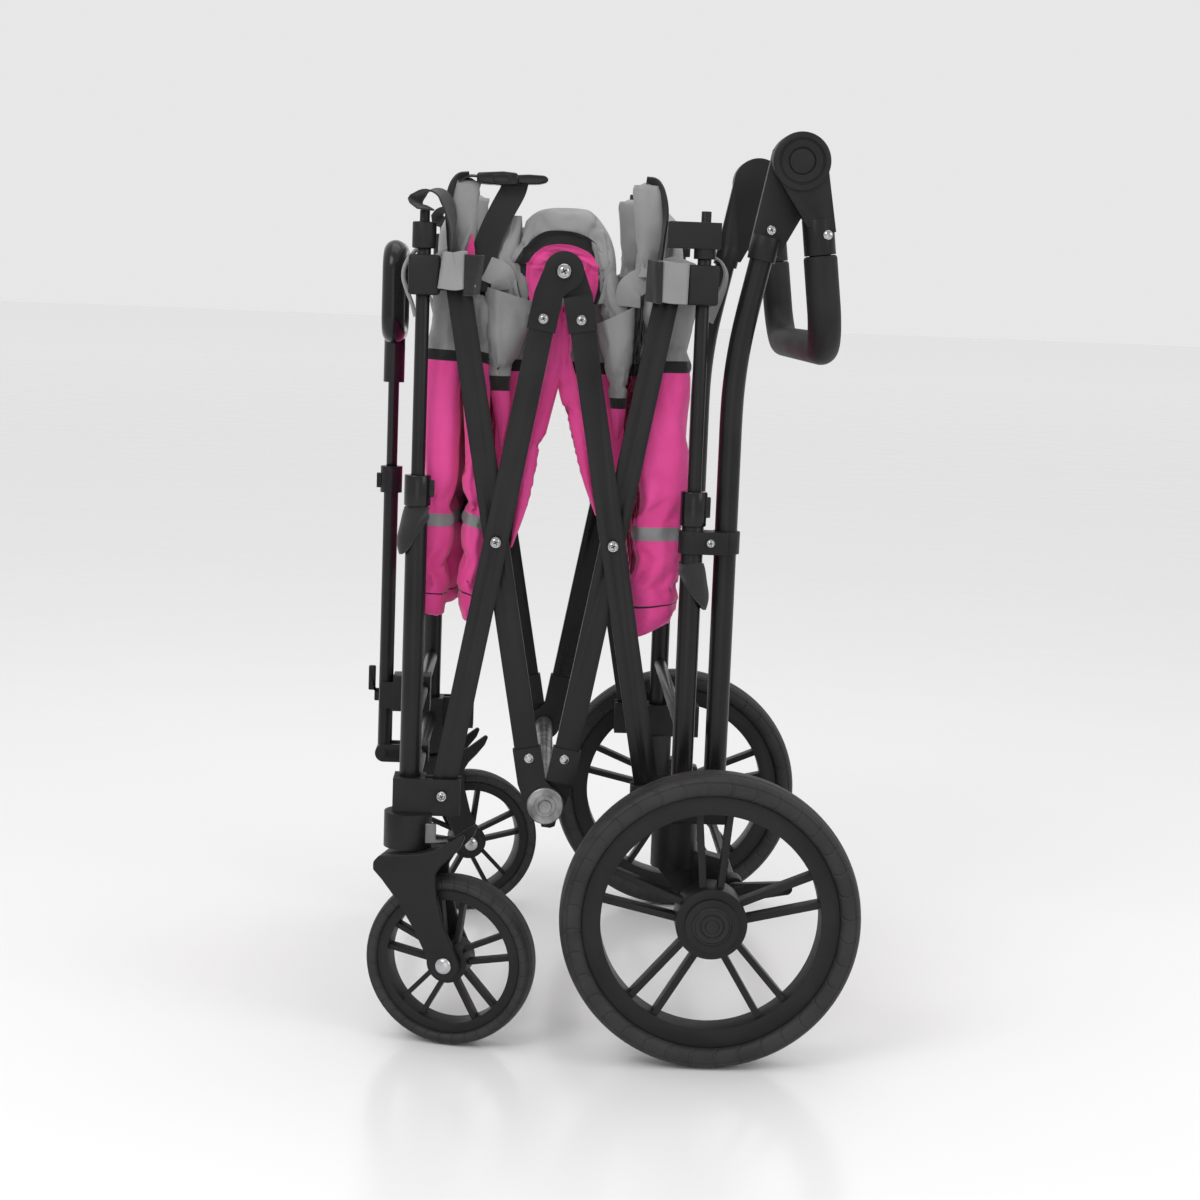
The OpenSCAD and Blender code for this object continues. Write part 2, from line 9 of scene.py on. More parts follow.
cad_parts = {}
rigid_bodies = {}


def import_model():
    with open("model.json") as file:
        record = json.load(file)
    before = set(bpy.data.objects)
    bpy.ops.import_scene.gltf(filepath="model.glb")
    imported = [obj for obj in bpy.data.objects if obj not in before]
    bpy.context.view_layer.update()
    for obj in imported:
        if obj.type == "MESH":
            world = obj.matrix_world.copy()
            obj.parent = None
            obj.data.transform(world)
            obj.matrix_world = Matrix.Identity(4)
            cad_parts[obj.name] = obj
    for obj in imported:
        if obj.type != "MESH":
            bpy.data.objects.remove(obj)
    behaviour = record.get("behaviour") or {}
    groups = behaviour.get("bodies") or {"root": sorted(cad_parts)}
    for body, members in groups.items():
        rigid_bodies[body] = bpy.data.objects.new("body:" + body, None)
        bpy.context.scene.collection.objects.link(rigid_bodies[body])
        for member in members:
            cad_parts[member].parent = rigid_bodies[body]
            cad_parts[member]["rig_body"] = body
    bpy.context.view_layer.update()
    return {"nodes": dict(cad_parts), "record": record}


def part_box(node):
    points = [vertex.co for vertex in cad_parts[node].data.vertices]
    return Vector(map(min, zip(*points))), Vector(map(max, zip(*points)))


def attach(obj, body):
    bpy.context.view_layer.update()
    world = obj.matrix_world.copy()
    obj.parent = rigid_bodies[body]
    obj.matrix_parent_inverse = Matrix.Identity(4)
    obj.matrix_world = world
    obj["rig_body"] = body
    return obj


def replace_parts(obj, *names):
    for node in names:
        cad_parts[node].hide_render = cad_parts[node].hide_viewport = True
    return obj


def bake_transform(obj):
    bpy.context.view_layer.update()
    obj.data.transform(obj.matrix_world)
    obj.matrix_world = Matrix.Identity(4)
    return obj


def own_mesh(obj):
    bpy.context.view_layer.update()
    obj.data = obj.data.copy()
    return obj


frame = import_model()
NEAR, FAR = -1, 1
SIDES = {NEAR: "left", FAR: "right"}


# ---- Places from the frame ----

def span(node):
    """A CAD node's lowest and highest corners, in millimetres"""
    low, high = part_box(node)
    return np.array(low) * 1000, np.array(high) * 1000


def middle(node):
    low, high = span(node)
    return (low + high) / 2


hub = np.array([middle("bottom_hub")[0], 0, span("front_outer_fittings")[1][2] - 20])
front_post = np.array([span("front_posts")[0][0] + 7, span("front_posts")[1][1] - 7])
rear_post = np.array([span("rear_posts")[0][0] + 7, span("rear_posts")[1][1] - 7])
cloth_y = span("front_basket_wall")[1][1]


# ---- Material nodes ----

def add(tree, kind, inputs=None, **settings):
    made = tree.nodes.new(kind)
    for name, value in settings.items():
        setattr(made, name, value)
    for name, value in (inputs or {}).items():
        if isinstance(value, bpy.types.NodeSocket):
            tree.links.new(value, made.inputs[name])
        else:
            made.inputs[name].default_value = value
    return made


def maths(tree, operation, a, b=0.0):
    return add(tree, "ShaderNodeMath", {0: a, 1: b}, operation=operation).outputs[0]


def spread(tree, value, low, high, start=0.35, end=0.65):
    """The value's range start to end, as low to high"""
    return add(tree, "ShaderNodeMapRange", {"Value": value, "From Min": start, "From Max": end, "To Min": low,
                                            "To Max": high}).outputs["Result"]


def shade(tree, factor, dark, light):
    made = add(tree, "ShaderNodeMix", data_type="RGBA")
    tree.links.new(factor, made.inputs["Factor"])
    made.inputs["A"].default_value = (*dark, 1)
    made.inputs["B"].default_value = (*light, 1)
    return made.outputs["Result"]


def noise(tree, place, scale, detail=3.0):
    return add(tree, "ShaderNodeTexNoise", {"Vector": place, "Scale": scale, "Detail": detail}).outputs["Fac"]


def start_material(name):
    made = bpy.data.materials.new(name)
    made.use_nodes = True
    tree = made.node_tree
    return made, tree, tree.nodes["Principled BSDF"]


def surfaced(tree, shader, colour, roughness, bump, values):
    """Wires up a shader: bump is (height, strength, distance), and values are its constants"""
    tree.links.new(colour, shader.inputs["Base Color"])
    tree.links.new(roughness, shader.inputs["Roughness"])
    for socket, value in values.items():
        shader.inputs[socket].default_value = value
    made = add(tree, "ShaderNodeBump", dict(zip(("Height", "Strength", "Distance"), bump)))
    tree.links.new(made.outputs["Normal"], shader.inputs["Normal"])


def hard_material(name, dark, light, rough, grain, strength, metal=0.0, coat=0.0):
    """Moulded, coated or plated: soft drifts of shade and gloss, with a fine grain"""
    made, tree, shader = start_material(name)
    place = add(tree, "ShaderNodeTexCoord").outputs["Object"]
    drift = noise(tree, place, 14.0, 4.0)
    fine = noise(tree, place, grain, 2.0)
    scuff = maths(tree, "ADD", maths(tree, "MULTIPLY", drift, 0.6),
        maths(tree, "MULTIPLY", noise(tree, place, 130.0), 0.4))
    surfaced(tree, shader, shade(tree, spread(tree, drift, 0, 1), dark, light), spread(tree, scuff, *rough),
        (fine, strength, 0.0004), {"Metallic": metal, "Coat Weight": coat, "Coat Roughness": 0.25,
        "Specular IOR Level": 0.5 if metal else 0.22})
    return made


def woven_material(name, dark, light, pitch, rough=0.72, sheen=0.25, weave=0.35, ribs=1.0):
    """Cloth woven at a pitch in metres, on UVs that are in metres"""
    made, tree, shader = start_material(name)
    uv = add(tree, "ShaderNodeTexCoord").outputs["UV"]
    place = add(tree, "ShaderNodeTexCoord").outputs["Object"]
    split = add(tree, "ShaderNodeSeparateXYZ", {"Vector": uv})
    warp = maths(tree, "SINE", maths(tree, "MULTIPLY", split.outputs["X"], 2 * math.pi / pitch))
    weft = maths(tree, "SINE", maths(tree, "MULTIPLY", split.outputs["Y"], 2 * math.pi / (pitch * ribs)))
    threads = spread(tree, maths(tree, "MULTIPLY", warp, weft), 0, 1, -1, 1)
    drift = noise(tree, place, 18.0, 5.0)
    mix = maths(tree, "ADD", maths(tree, "MULTIPLY", spread(tree, drift, 0, 1), 0.7),
        maths(tree, "MULTIPLY", threads, 0.3))
    creases = maths(tree, "MULTIPLY", noise(tree, place, 70.0, 5.0), 3.0)
    surfaced(tree, shader, shade(tree, mix, dark, light), spread(tree, drift, rough - 0.08, rough + 0.08),
        (maths(tree, "ADD", threads, creases), weave, 0.0005),
        {"Sheen Weight": sheen, "Sheen Roughness": 0.45, "Specular IOR Level": 0.3})
    return made


def tyre_material(name):
    """Rubber, with slanted cuts around the shoulder; the origin is the wheel's centre, the axle along Y"""
    made, tree, shader = start_material(name)
    place = add(tree, "ShaderNodeTexCoord").outputs["Object"]
    split = add(tree, "ShaderNodeSeparateXYZ", {"Vector": place})
    angle = maths(tree, "ARCTAN2", split.outputs["Z"], split.outputs["X"])
    across = maths(tree, "ABSOLUTE", split.outputs["Y"])
    turn = maths(tree, "ADD", maths(tree, "MULTIPLY", angle, 36.0), maths(tree, "MULTIPLY", across, 260.0))
    cut = spread(tree, maths(tree, "SINE", turn), 0, 1, 0.90, 0.99)
    cut = maths(tree, "MULTIPLY", cut, spread(tree, across, 0, 1, 0.006, 0.008))
    drift = noise(tree, place, 30.0, 4.0)
    grain = noise(tree, place, 900.0, 2.0)
    height = maths(tree, "SUBTRACT", maths(tree, "MULTIPLY", grain, 0.25), maths(tree, "MULTIPLY", cut, 3.0))
    colour = shade(tree, spread(tree, drift, 0, 1), (0.018, 0.018, 0.0185), (0.030, 0.030, 0.031))
    surfaced(tree, shader, colour, spread(tree, drift, 0.5, 0.62), (height, 0.6, 0.0006),
        {"Specular IOR Level": 0.3})
    return made


def brushed_material(name):
    """Turned steel: rings around Y; the piece's origin is on the axis"""
    made, tree, shader = start_material(name)
    place = add(tree, "ShaderNodeTexCoord").outputs["Object"]
    split = add(tree, "ShaderNodeSeparateXYZ", {"Vector": place})
    squares = [maths(tree, "MULTIPLY", split.outputs[axis], split.outputs[axis]) for axis in "XZ"]
    radius = maths(tree, "SQRT", maths(tree, "ADD", *squares))
    rings = noise(tree, add(tree, "ShaderNodeCombineXYZ", {"X": radius}).outputs[0], 900.0, 6.0)
    stain = noise(tree, place, 60.0, 5.0)
    mix = maths(tree, "ADD", maths(tree, "MULTIPLY", rings, 0.3), maths(tree, "MULTIPLY", stain, 0.7))
    colour = shade(tree, spread(tree, mix, 0, 1), (0.07, 0.07, 0.072), (0.36, 0.36, 0.365))
    surfaced(tree, shader, colour, spread(tree, rings, 0.3, 0.5), (rings, 0.3, 0.0003), {"Metallic": 0.9})
    return made


# Moulded, coated or plated finishes: dark, light, range of roughness, grain, bump, metal, coat
HARD = {
    "frame_steel": ((0.007, 0.007, 0.0075), (0.012, 0.012, 0.013), (0.27, 0.38), 1400.0, 0.14, 0.0, 0.05),
    "black_plastic": ((0.009, 0.009, 0.0095), (0.015, 0.015, 0.016), (0.36, 0.5), 2200.0, 0.25),
    "gloss_plastic": ((0.005, 0.005, 0.0055), (0.009, 0.009, 0.0095), (0.10, 0.2), 700.0, 0.05, 0.0, 0.2),
    "fastener_chrome": ((0.30, 0.30, 0.31), (0.48, 0.48, 0.49), (0.10, 0.22), 1500.0, 0.1, 1.0),
    "spring_steel": ((0.10, 0.10, 0.10), (0.17, 0.17, 0.175), (0.25, 0.4), 1500.0, 0.1, 1.0),
    "foam": ((0.010, 0.010, 0.0105), (0.017, 0.017, 0.018), (0.5, 0.62), 1100.0, 0.5),
}
# Woven finishes: dark, light, pitch, roughness, sheen, bump, ribs
WOVEN = {
    "pink_fabric": ((0.76, 0.052, 0.27), (0.90, 0.095, 0.38), 0.0011),
    "pink_lining": ((0.60, 0.034, 0.19), (0.74, 0.060, 0.27), 0.0011),
    "grey_fabric": ((0.23, 0.23, 0.23), (0.31, 0.31, 0.31), 0.0011),
    "binding": ((0.010, 0.010, 0.010), (0.022, 0.022, 0.022), 0.0016, 0.8, 0.25, 0.6),
    "webbing": ((0.012, 0.012, 0.012), (0.026, 0.026, 0.026), 0.0024, 0.75, 0.25, 0.8, 0.5),
    "reflective": ((0.22, 0.22, 0.22), (0.29, 0.29, 0.29), 0.0009, 0.45, 0.05),
    "board_fabric": ((0.014, 0.014, 0.015), (0.028, 0.028, 0.030), 0.0013),
}
MATERIALS = {name: hard_material(name, *row) for name, row in HARD.items()}
MATERIALS["tyre"] = tyre_material("tyre")
MATERIALS.update((name, woven_material(name, *row)) for name, row in WOVEN.items())
MATERIALS["brushed"] = brushed_material("brushed")
SLOTS = {"pink_lining": "pink_fabric", "binding": "grey_fabric", "webbing": "grey_fabric",
    "reflective": "grey_fabric", "brushed": "frame_steel", "spring_steel": "fastener_chrome"}


# ---- Mesh building ----

def linked(name, data):
    """A new object in the scene"""
    made = bpy.data.objects.new(name, data)
    bpy.context.scene.collection.objects.link(made)
    return made


def placed(name, mesh, finishes, body, at=None):
    """A mesh in the frame as a piece, with its materials; it rides on body if that is given"""
    piece = linked(name, mesh)
    if at is not None:
        piece.location = Vector(at) / 1000
    for finish in finishes:
        mesh.materials.append(MATERIALS[finish])
    SLOTS.get(finishes[0], finishes[0])
    if body:
        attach(piece, body)
    return piece


def smooth(mesh, angle=40):
    mesh.polygons.foreach_set("use_smooth", [True] * len(mesh.polygons))
    mesh.set_sharp_from_angle(angle=math.radians(angle))


def skin(name, rows, finishes, body, wrap=False, pick=None, caps=False, angle=70, at=None):
    """A grid of points as a piece, with UVs in metres; pick says which finish each row of faces has"""
    rows = np.asarray(rows, float) / 1000
    n, m = rows.shape[:2]
    around = m if wrap else m - 1
    faces = [(i * m + j, i * m + (j + 1) % m, (i + 1) * m + (j + 1) % m, (i + 1) * m + j)
             for i in range(n - 1) for j in range(around)]
    ends = [tuple(reversed(range(m))), tuple((n - 1) * m + j for j in range(m))] if caps else []
    mesh = bpy.data.meshes.new(name)
    mesh.from_pydata([tuple(p) for p in rows.reshape(-1, 3)], [], faces + ends)
    closed = np.concatenate([rows, rows[:, :1]], axis=1)
    u = np.concatenate([[0], np.cumsum(np.linalg.norm(np.diff(closed.mean(0), axis=0), axis=1))])
    v = np.concatenate([[0], np.cumsum(np.linalg.norm(np.diff(rows, axis=0), axis=2).mean(1))])
    layer = mesh.uv_layers.new(name="UVMap").data
    k = 0
    for i in range(n - 1):
        for j in range(around):
            for a, b in ((j, i), (j + 1, i), (j + 1, i + 1), (j, i + 1)):
                layer[k].uv = (u[a], v[b])
                k += 1
    if pick:
        for i in range(n - 1):
            for j in range(around):
                mesh.polygons[i * around + j].material_index = pick(i)
        if caps:
            mesh.polygons[-2].material_index = pick(0)
            mesh.polygons[-1].material_index = pick(n - 2)
    smooth(mesh, angle)
    return placed(name, mesh, finishes, body, at)


def facing(piece, merge=False):
    """Turns a closed piece's faces outwards; merge first joins the points that coincide"""
    shape = bmesh.new()
    shape.from_mesh(piece.data)
    if merge:
        bmesh.ops.remove_doubles(shape, verts=shape.verts, dist=1e-6)
    bmesh.ops.recalc_face_normals(shape, faces=shape.faces)
    shape.to_mesh(piece.data)
    shape.free()
    return piece


def curve_through(points, count):
    """Points evenly along a smooth curve through the given ones"""
    p = np.asarray(points, float)
    p = np.vstack([2 * p[0] - p[1], p, 2 * p[-1] - p[-2]])
    fine = []
    for a, b, c, d in zip(p, p[1:], p[2:], p[3:]):
        for t in np.linspace(0, 1, 16, endpoint=False):
            fine.append(0.5 * (2 * b + (c - a) * t + (2 * a - 5 * b + 4 * c - d) * t ** 2
                + (3 * b - a - 3 * c + d) * t ** 3))
    fine = np.array(fine + [p[-2]])
    length = np.concatenate([[0], np.cumsum(np.linalg.norm(np.diff(fine, axis=0), axis=1))])
    at = np.linspace(0, length[-1], count)
    return np.stack([np.interp(at, length, fine[:, k]) for k in range(fine.shape[1])], axis=1)


def turns(count):
    """Angles around a circle"""
    return np.linspace(0, 2 * math.pi, count, endpoint=False)


def unit(v):
    return v / np.maximum(np.linalg.norm(v, axis=-1, keepdims=True), 1e-9)


def ribbon(name, points, width, finish, body, across, thick=1.6, count=40, taper=None):
    """Flat webbing along a path; across is the direction of its width at each given point, or one for all"""
    path = curve_through(points, count)
    across = np.asarray(across, float)
    wide = np.tile(across, (count, 1)) if across.ndim == 1 else curve_through(across, count)
    ahead = unit(np.gradient(path, axis=0))
    wide = unit(wide - (wide * ahead).sum(1)[:, None] * ahead)
    up = np.cross(ahead, wide)
    half = np.full(count, width / 2) if taper is None else np.interp(np.linspace(0, 1, count),
        np.linspace(0, 1, len(taper)), taper) / 2
    ring = [(-1, 0), (-0.97, 0.5), (-0.6, 0.5), (0, 0.5), (0.6, 0.5), (0.97, 0.5), (1, 0), (0.97, -0.5),
        (0.6, -0.5), (0, -0.5), (-0.6, -0.5), (-0.97, -0.5)]
    rows = np.stack([path + wide * (a * half)[:, None] + up * (b * thick) for a, b in ring], axis=1)
    return facing(skin(name, rows, [finish], body, wrap=True, caps=True, angle=50))


def cord_tube(name, points, radius, finish, body, count=30, sides=10):
    """A round cord or piping along a path"""
    path = curve_through(points, count)
    ahead = unit(np.gradient(path, axis=0))
    side = unit(np.cross(ahead, [0.31, 0.23, 0.92]))
    up = np.cross(side, ahead)
    rows = np.stack([path + radius * (math.cos(a) * side + math.sin(a) * up) for a in turns(sides)], axis=1)
    return facing(skin(name, rows, [finish], body, wrap=True, caps=True, angle=60))


def lathe(name, profile, finish, body, at, segments=96, closed=False, turned=0.0):
    """A profile of (radius, distance along Y) turned about an axis along Y at a point"""
    rows = np.array([[(r * math.cos(a), y, r * math.sin(a)) for a in turns(segments)] for r, y in profile])
    if closed:
        rows = np.concatenate([rows, rows[:1]])
    piece = skin(name, rows, [finish], None, wrap=True, caps=not closed, angle=35, at=at)
    piece.rotation_euler = (0, 0, turned)
    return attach(facing(piece, merge=closed), body)


def rounded(shape, name, angle, width, segments, sharp):
    """A mesh of the shape, with its edges over an angle in radians rounded by a width"""
    rim = [e for e in shape.edges if e.is_manifold and e.calc_face_angle(0) > angle]
    bmesh.ops.bevel(shape, geom=rim, offset=width / 1000, segments=segments, profile=0.5, affect="EDGES",
        clamp_overlap=True)
    mesh = bpy.data.meshes.new(name)
    shape.to_mesh(mesh)
    shape.free()
    smooth(mesh, sharp)
    return mesh


def slab(name, outline, y0, y1, finish, body, bevel=2.0):
    """An outline in X and Z made solid between two distances along Y, with rounded edges"""
    shape = bmesh.new()
    face = shape.faces.new([shape.verts.new((x / 1000, y0 / 1000, z / 1000)) for x, z in outline])
    top = bmesh.ops.extrude_face_region(shape, geom=[face])["geom"]
    bmesh.ops.translate(shape, verts=[v for v in top if isinstance(v, bmesh.types.BMVert)],
        vec=(0, (y1 - y0) / 1000, 0))
    bmesh.ops.recalc_face_normals(shape, faces=shape.faces)
    return placed(name, rounded(shape, name, 0.6, bevel, 3, 35), [finish], body)


def softened(node, width, finish):
    """A CAD node's shape with rounded edges, in its place"""
    source = frame["nodes"][node]
    shape = bmesh.new()
    shape.from_mesh(source.data)
    bmesh.ops.remove_doubles(shape, verts=shape.verts, dist=2e-5)
    bmesh.ops.dissolve_limit(shape, angle_limit=math.radians(1.5), verts=shape.verts, edges=shape.edges)
    name = "soft_" + node
    piece = placed(name, rounded(shape, name, math.radians(32), width, 2, 38), [finish], source["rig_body"])
    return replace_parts(piece, node)


# ---- Cloth ----

settling = []


def settle_later(piece, hold, pressure, slack, cap):
    """Marks a cloth piece for the simulation: hold says how firmly a point is kept, slack how much cloth is
    spare, and cap how far a point may move"""
    group = piece.vertex_groups.new(name="hold")
    for v in piece.data.vertices:
        weight = hold(v.co * 1000)
        if weight > 0:
            group.add([v.index], weight, "REPLACE")
    settling.append((piece, pressure, slack, cap))
    return piece


def settle_all(frames=18):
    """Runs the cloth simulation on every marked piece together, and keeps its result in each mesh"""
    scene = bpy.context.scene
    for piece, pressure, slack, cap in settling:
        cloth = piece.modifiers.new("cloth", "CLOTH")
        s = cloth.settings
        s.quality = 4
        s.mass = 0.25
        s.tension_stiffness = 12
        s.compression_stiffness = 6
        s.shear_stiffness = 4
        s.bending_stiffness = 0.35
        s.use_pressure = pressure != 0
        s.uniform_pressure_force = pressure
        s.shrink_min = -slack
        s.vertex_group_mass = "hold"
        s.effector_weights.gravity = 0.15
        cloth.point_cache.frame_start = 1
        cloth.point_cache.frame_end = frames
    for step in range(1, frames + 1):
        scene.frame_set(step)
    view = bpy.context.evaluated_depsgraph_get()
    for piece, pressure, slack, cap in settling:
        was = np.array([v.co for v in piece.data.vertices])
        move = np.array([v.co for v in piece.evaluated_get(view).data.vertices]) - was
        far = np.linalg.norm(move, axis=1, keepdims=True)
        move *= np.minimum(1, cap / 1000 / np.maximum(far, 1e-9))
        piece.modifiers.clear()
        piece.data.vertices.foreach_set("co", (was + move).ravel())
        piece.data.update()
    scene.frame_set(1)
    settling.clear()


def levels(marks, step):
    """Heights from the first mark to the last, no further apart than step, with each mark among them"""
    made = [marks[0]]
    for a, b in zip(marks, marks[1:]):
        made += list(np.linspace(a, b, max(1, math.ceil(abs(b - a) / step)) + 1)[1:])
    return made


def ripple(z, phase, size):
    return size * (math.sin(z / 37 + phase) + 0.6 * math.sin(z / 17 + 2.1 * phase)
        + 0.4 * math.sin(z / 9.3 + 3.7 * phase))


def banded_roll(name, body, middle_at, half, z_low, z_high, marks, seed=0.0, slant=0.0, columns=44, step=5,
        cap=4.5, skew=0.0, lean=0.0):
    """An upright roll of folded cloth. marks are (height, finish): the finish runs up from that height"""
    finishes = list(dict.fromkeys(f for _, f in marks))
    heights = levels([z_low] + [h for h, _ in marks[1:]] + [z_high], step)
    rows = []
    for z in heights:
        near_end = min(1, 0.80 + 0.20 * math.sqrt(min(1, (z - z_low) / 14)),
            math.sqrt(max(0.02, 1 - max(0, 1 - (z_high - z) / 12) ** 2)))
        row = []
        for a in turns(columns):
            c, s = math.cos(a), math.sin(a)
            e = (abs(c) ** 2.6 + abs(s) ** 2.6) ** (-1 / 2.6)
            fold = 1 + 0.05 * math.sin(3 * a + z / 60 + seed) + 0.03 * math.sin(7 * a - z / 41 + seed)
            x = middle_at[0] - lean * (z_high - z) + ripple(z, seed, 1.2) + c * e * half[0] * near_end * fold
            y = middle_at[1] + s * e * half[1] * near_end * fold
            sag = skew * max(0, 1 - (z - z_low) / 30)
            row.append((x, y, z + (slant + sag) * (x - middle_at[0]) - 3 * abs(sag) * math.sin(2 * a + seed)))
        rows.append(row)

    def pick(i):
        z = (heights[i] + heights[i + 1]) / 2
        return finishes.index([f for h, f in marks if z >= h or h == marks[0][0]][-1])

    piece = facing(skin(name, rows, finishes, body, wrap=True, pick=pick, caps=True, angle=80))
    edges = [h for h, _ in marks[1:]]

    def hold(p):
        z = p.z - slant * (p.x - middle_at[0])
        if z < z_low + 4 or z > z_high - 4 or any(abs(z - e) < 3 for e in edges):
            return 1.0
        return 0.0

    settle_later(piece, hold, 3.0, 0.06, cap)
    return piece


def basket_wall(end, seam, strip, band, shift, seed):
    """An end wall's flat panel; also gives its corners, its middle along X and its finishes from the bottom up:
    pink with a black seam, a grey strip, a black band and a grey top"""
    node = f"{end}_basket_wall"
    low, high = span(node)
    marks = [(0, "pink_fabric"), (seam, "binding"), (seam + 1.6, "pink_fabric"), (strip[0], "reflective"),
        (strip[1], "pink_fabric"), (band[0], "binding"), (band[1], "grey_fabric")]
    x = (low[0] + high[0]) / 2
    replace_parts(banded_roll(f"{end}_wall_panel", f"{end}_sliders", (x + shift, 0), (13, high[1] - 30),
        low[2] + 6, high[2] - 8, marks, seed, columns=110, step=8, cap=9), node)
    return low, high, x, marks


def front_wall():
    low, high, x, marks = basket_wall("front", 459, (530, 543), (699, 710), -2, 0.4)
    for s in (NEAR, FAR):
        banded_roll(f"front_roll_{SIDES[s]}", "front_sliders", (x - 5, s * (high[1] - 17)), (18, 21),
            low[2] - 2, high[2] - 55, marks, 1.3 * s, slant=-0.04, skew=-0.5, lean=0.035)
    for s in (NEAR, FAR):
        piece = banded_roll(f"front_liner_roll_{SIDES[s]}", "front_side_liner", (-142, s * (high[1] - 18)),
            (12.5, 19), low[2] - 4, low[2] + 330, marks, 2.1 * s, slant=-0.28, skew=0.3)
        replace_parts(piece, "front_side_liner")


def rear_wall():
    low, high, x, marks = basket_wall("rear", 455, (523, 537), (695, 707), 0, 2.9)
    for s in (NEAR, FAR):
        banded_roll(f"rear_roll_{SIDES[s]}", "rear_sliders", (x + 2, s * (high[1] - 17)), (25, 21), low[2] - 4,
            high[2] - 60, marks, 0.7 * s, slant=0.02, skew=0.4, lean=0.02)


def from_hub(stations):
    """Stations (height, front edge, rear edge, depth) that are given from the top hub, in the frame"""
    return np.array(stations) + [hub[2], hub[0], hub[0], 0]


def cloth_fold(name, s, stations, hem, seed, out, tilt):
    """A flattened tube of the side wall's cloth through stations from the bottom up: pink under a black hem,
    grey above; out moves it outwards, and tilt slopes its top"""
    stations = from_hub(stations)
    hem = [hub[2] + height for height in hem]
    heights = levels([stations[0, 0], *hem, stations[-1, 0]], 4)
    left, right, deep = (curve_values(stations, k, heights) for k in (1, 2, 3))
    rim = heights[-1]
    rows = []
    for z, x0, x1, d in zip(heights, left, right, deep):
        x, w = (x0 + x1) / 2, (x1 - x0) / 2
        slope = tilt * max(0, 1 - (rim - z) / 45)
        row = []
        for a in turns(44):
            c, sn = math.cos(a), math.sin(a)
            groove = 0.2 * math.exp(-(wrapped(a - 2.2 - (z - rim) / 160) / 0.16) ** 2)
            crease = 1 + groove + 0.03 * math.sin(3 * a + z / 24 + seed)
            row.append((x + c * w, s * (cloth_y - 10 + out + sn * d * crease), z + slope * c * w))
        rows.append(row)
    finishes = ["pink_fabric", "binding", "grey_fabric"] if hem else ["grey_fabric"]
    pick = lambda i: 0 if not hem or heights[i] < hem[0] - 0.1 else 1 if heights[i] < hem[1] - 0.1 else 2
    piece = facing(skin(name, rows, finishes, "side_folds", wrap=True, pick=pick, caps=True, angle=65))
    held = hem[1] + 2 if hem else heights[0] + 4
    settle_later(piece, lambda p: 1.0 if p.z > rim - 7 - abs(tilt) * 24 or p.z < held else 0.0, 3.0, 0.05, 3)
    return piece


def wrapped(angle):
    return (angle + math.pi) % (2 * math.pi) - math.pi


def curve_values(stations, column, heights):
    """One column of the stations at each height, smoothly"""
    through = curve_through(stations[:, [0, column]], 120)
    return np.interp(heights, through[:, 0], through[:, 1])


def ears(s):
    """The folded corners of the side wall's grey top, front and rear: each falls from the arch's shoulder into
    a pouch that tapers to a hem, with a tab beside it; distances are from the top hub"""
    folds = (
        ("shoulder_front", [(-42, -66, -28, 8), (-14, -68, -33, 10), (9, -73, -42, 10), (22, -69, -43, 10),
            (40, -60, -43, 8), (54, -55, -44, 5)], (), 1.1, -1, 0),
        ("pouch_front", [(-180, -59, -57, 2), (-140, -67, -50, 6), (-107, -73, -50, 9), (-68, -77, -37, 12),
            (-25, -79, -24, 15)], (-122, -107), 1.1, 2, -0.28),
        ("shoulder_rear", [(-62, 40, 68, 8), (-40, 38, 70, 10), (-8, 38, 59, 10), (14, 33, 53, 10),
            (32, 25, 47, 8), (44, 20, 38, 5)], (), 2.3, -1, 0),
        ("pouch_rear", [(-167, 59, 62, 2), (-145, 54, 68, 6), (-125, 51, 69, 9), (-78, 41, 73, 12),
            (-42, 34, 74, 15)], (-136, -125), 2.3, 2, 0.5))
    for name, *shape in folds:
        cloth_fold(f"{name}_{SIDES[s]}", s, *shape)
    tabs = (("front", -1, ((86, 3), (74, -1), (62, -7), (60, -20))),
        ("rear", 1, ((88, -2), (76, -8), (67, -16), (66, -32))))
    for end, way, places in tabs:
        path = [(hub[0] + way * x, s * (cloth_y + y), hub[2] + z) for (x, z), y in zip(places, (-2, 1, 2, -3))]
        ribbon(f"tab_{end}_{SIDES[s]}", path, 26, "grey_fabric", "side_folds",
            [(0, 0.2, 1), (-0.2 * way, 0, 1), (-0.6 * way, 0, 1), (-way, 0, 0.4)], 2.6)


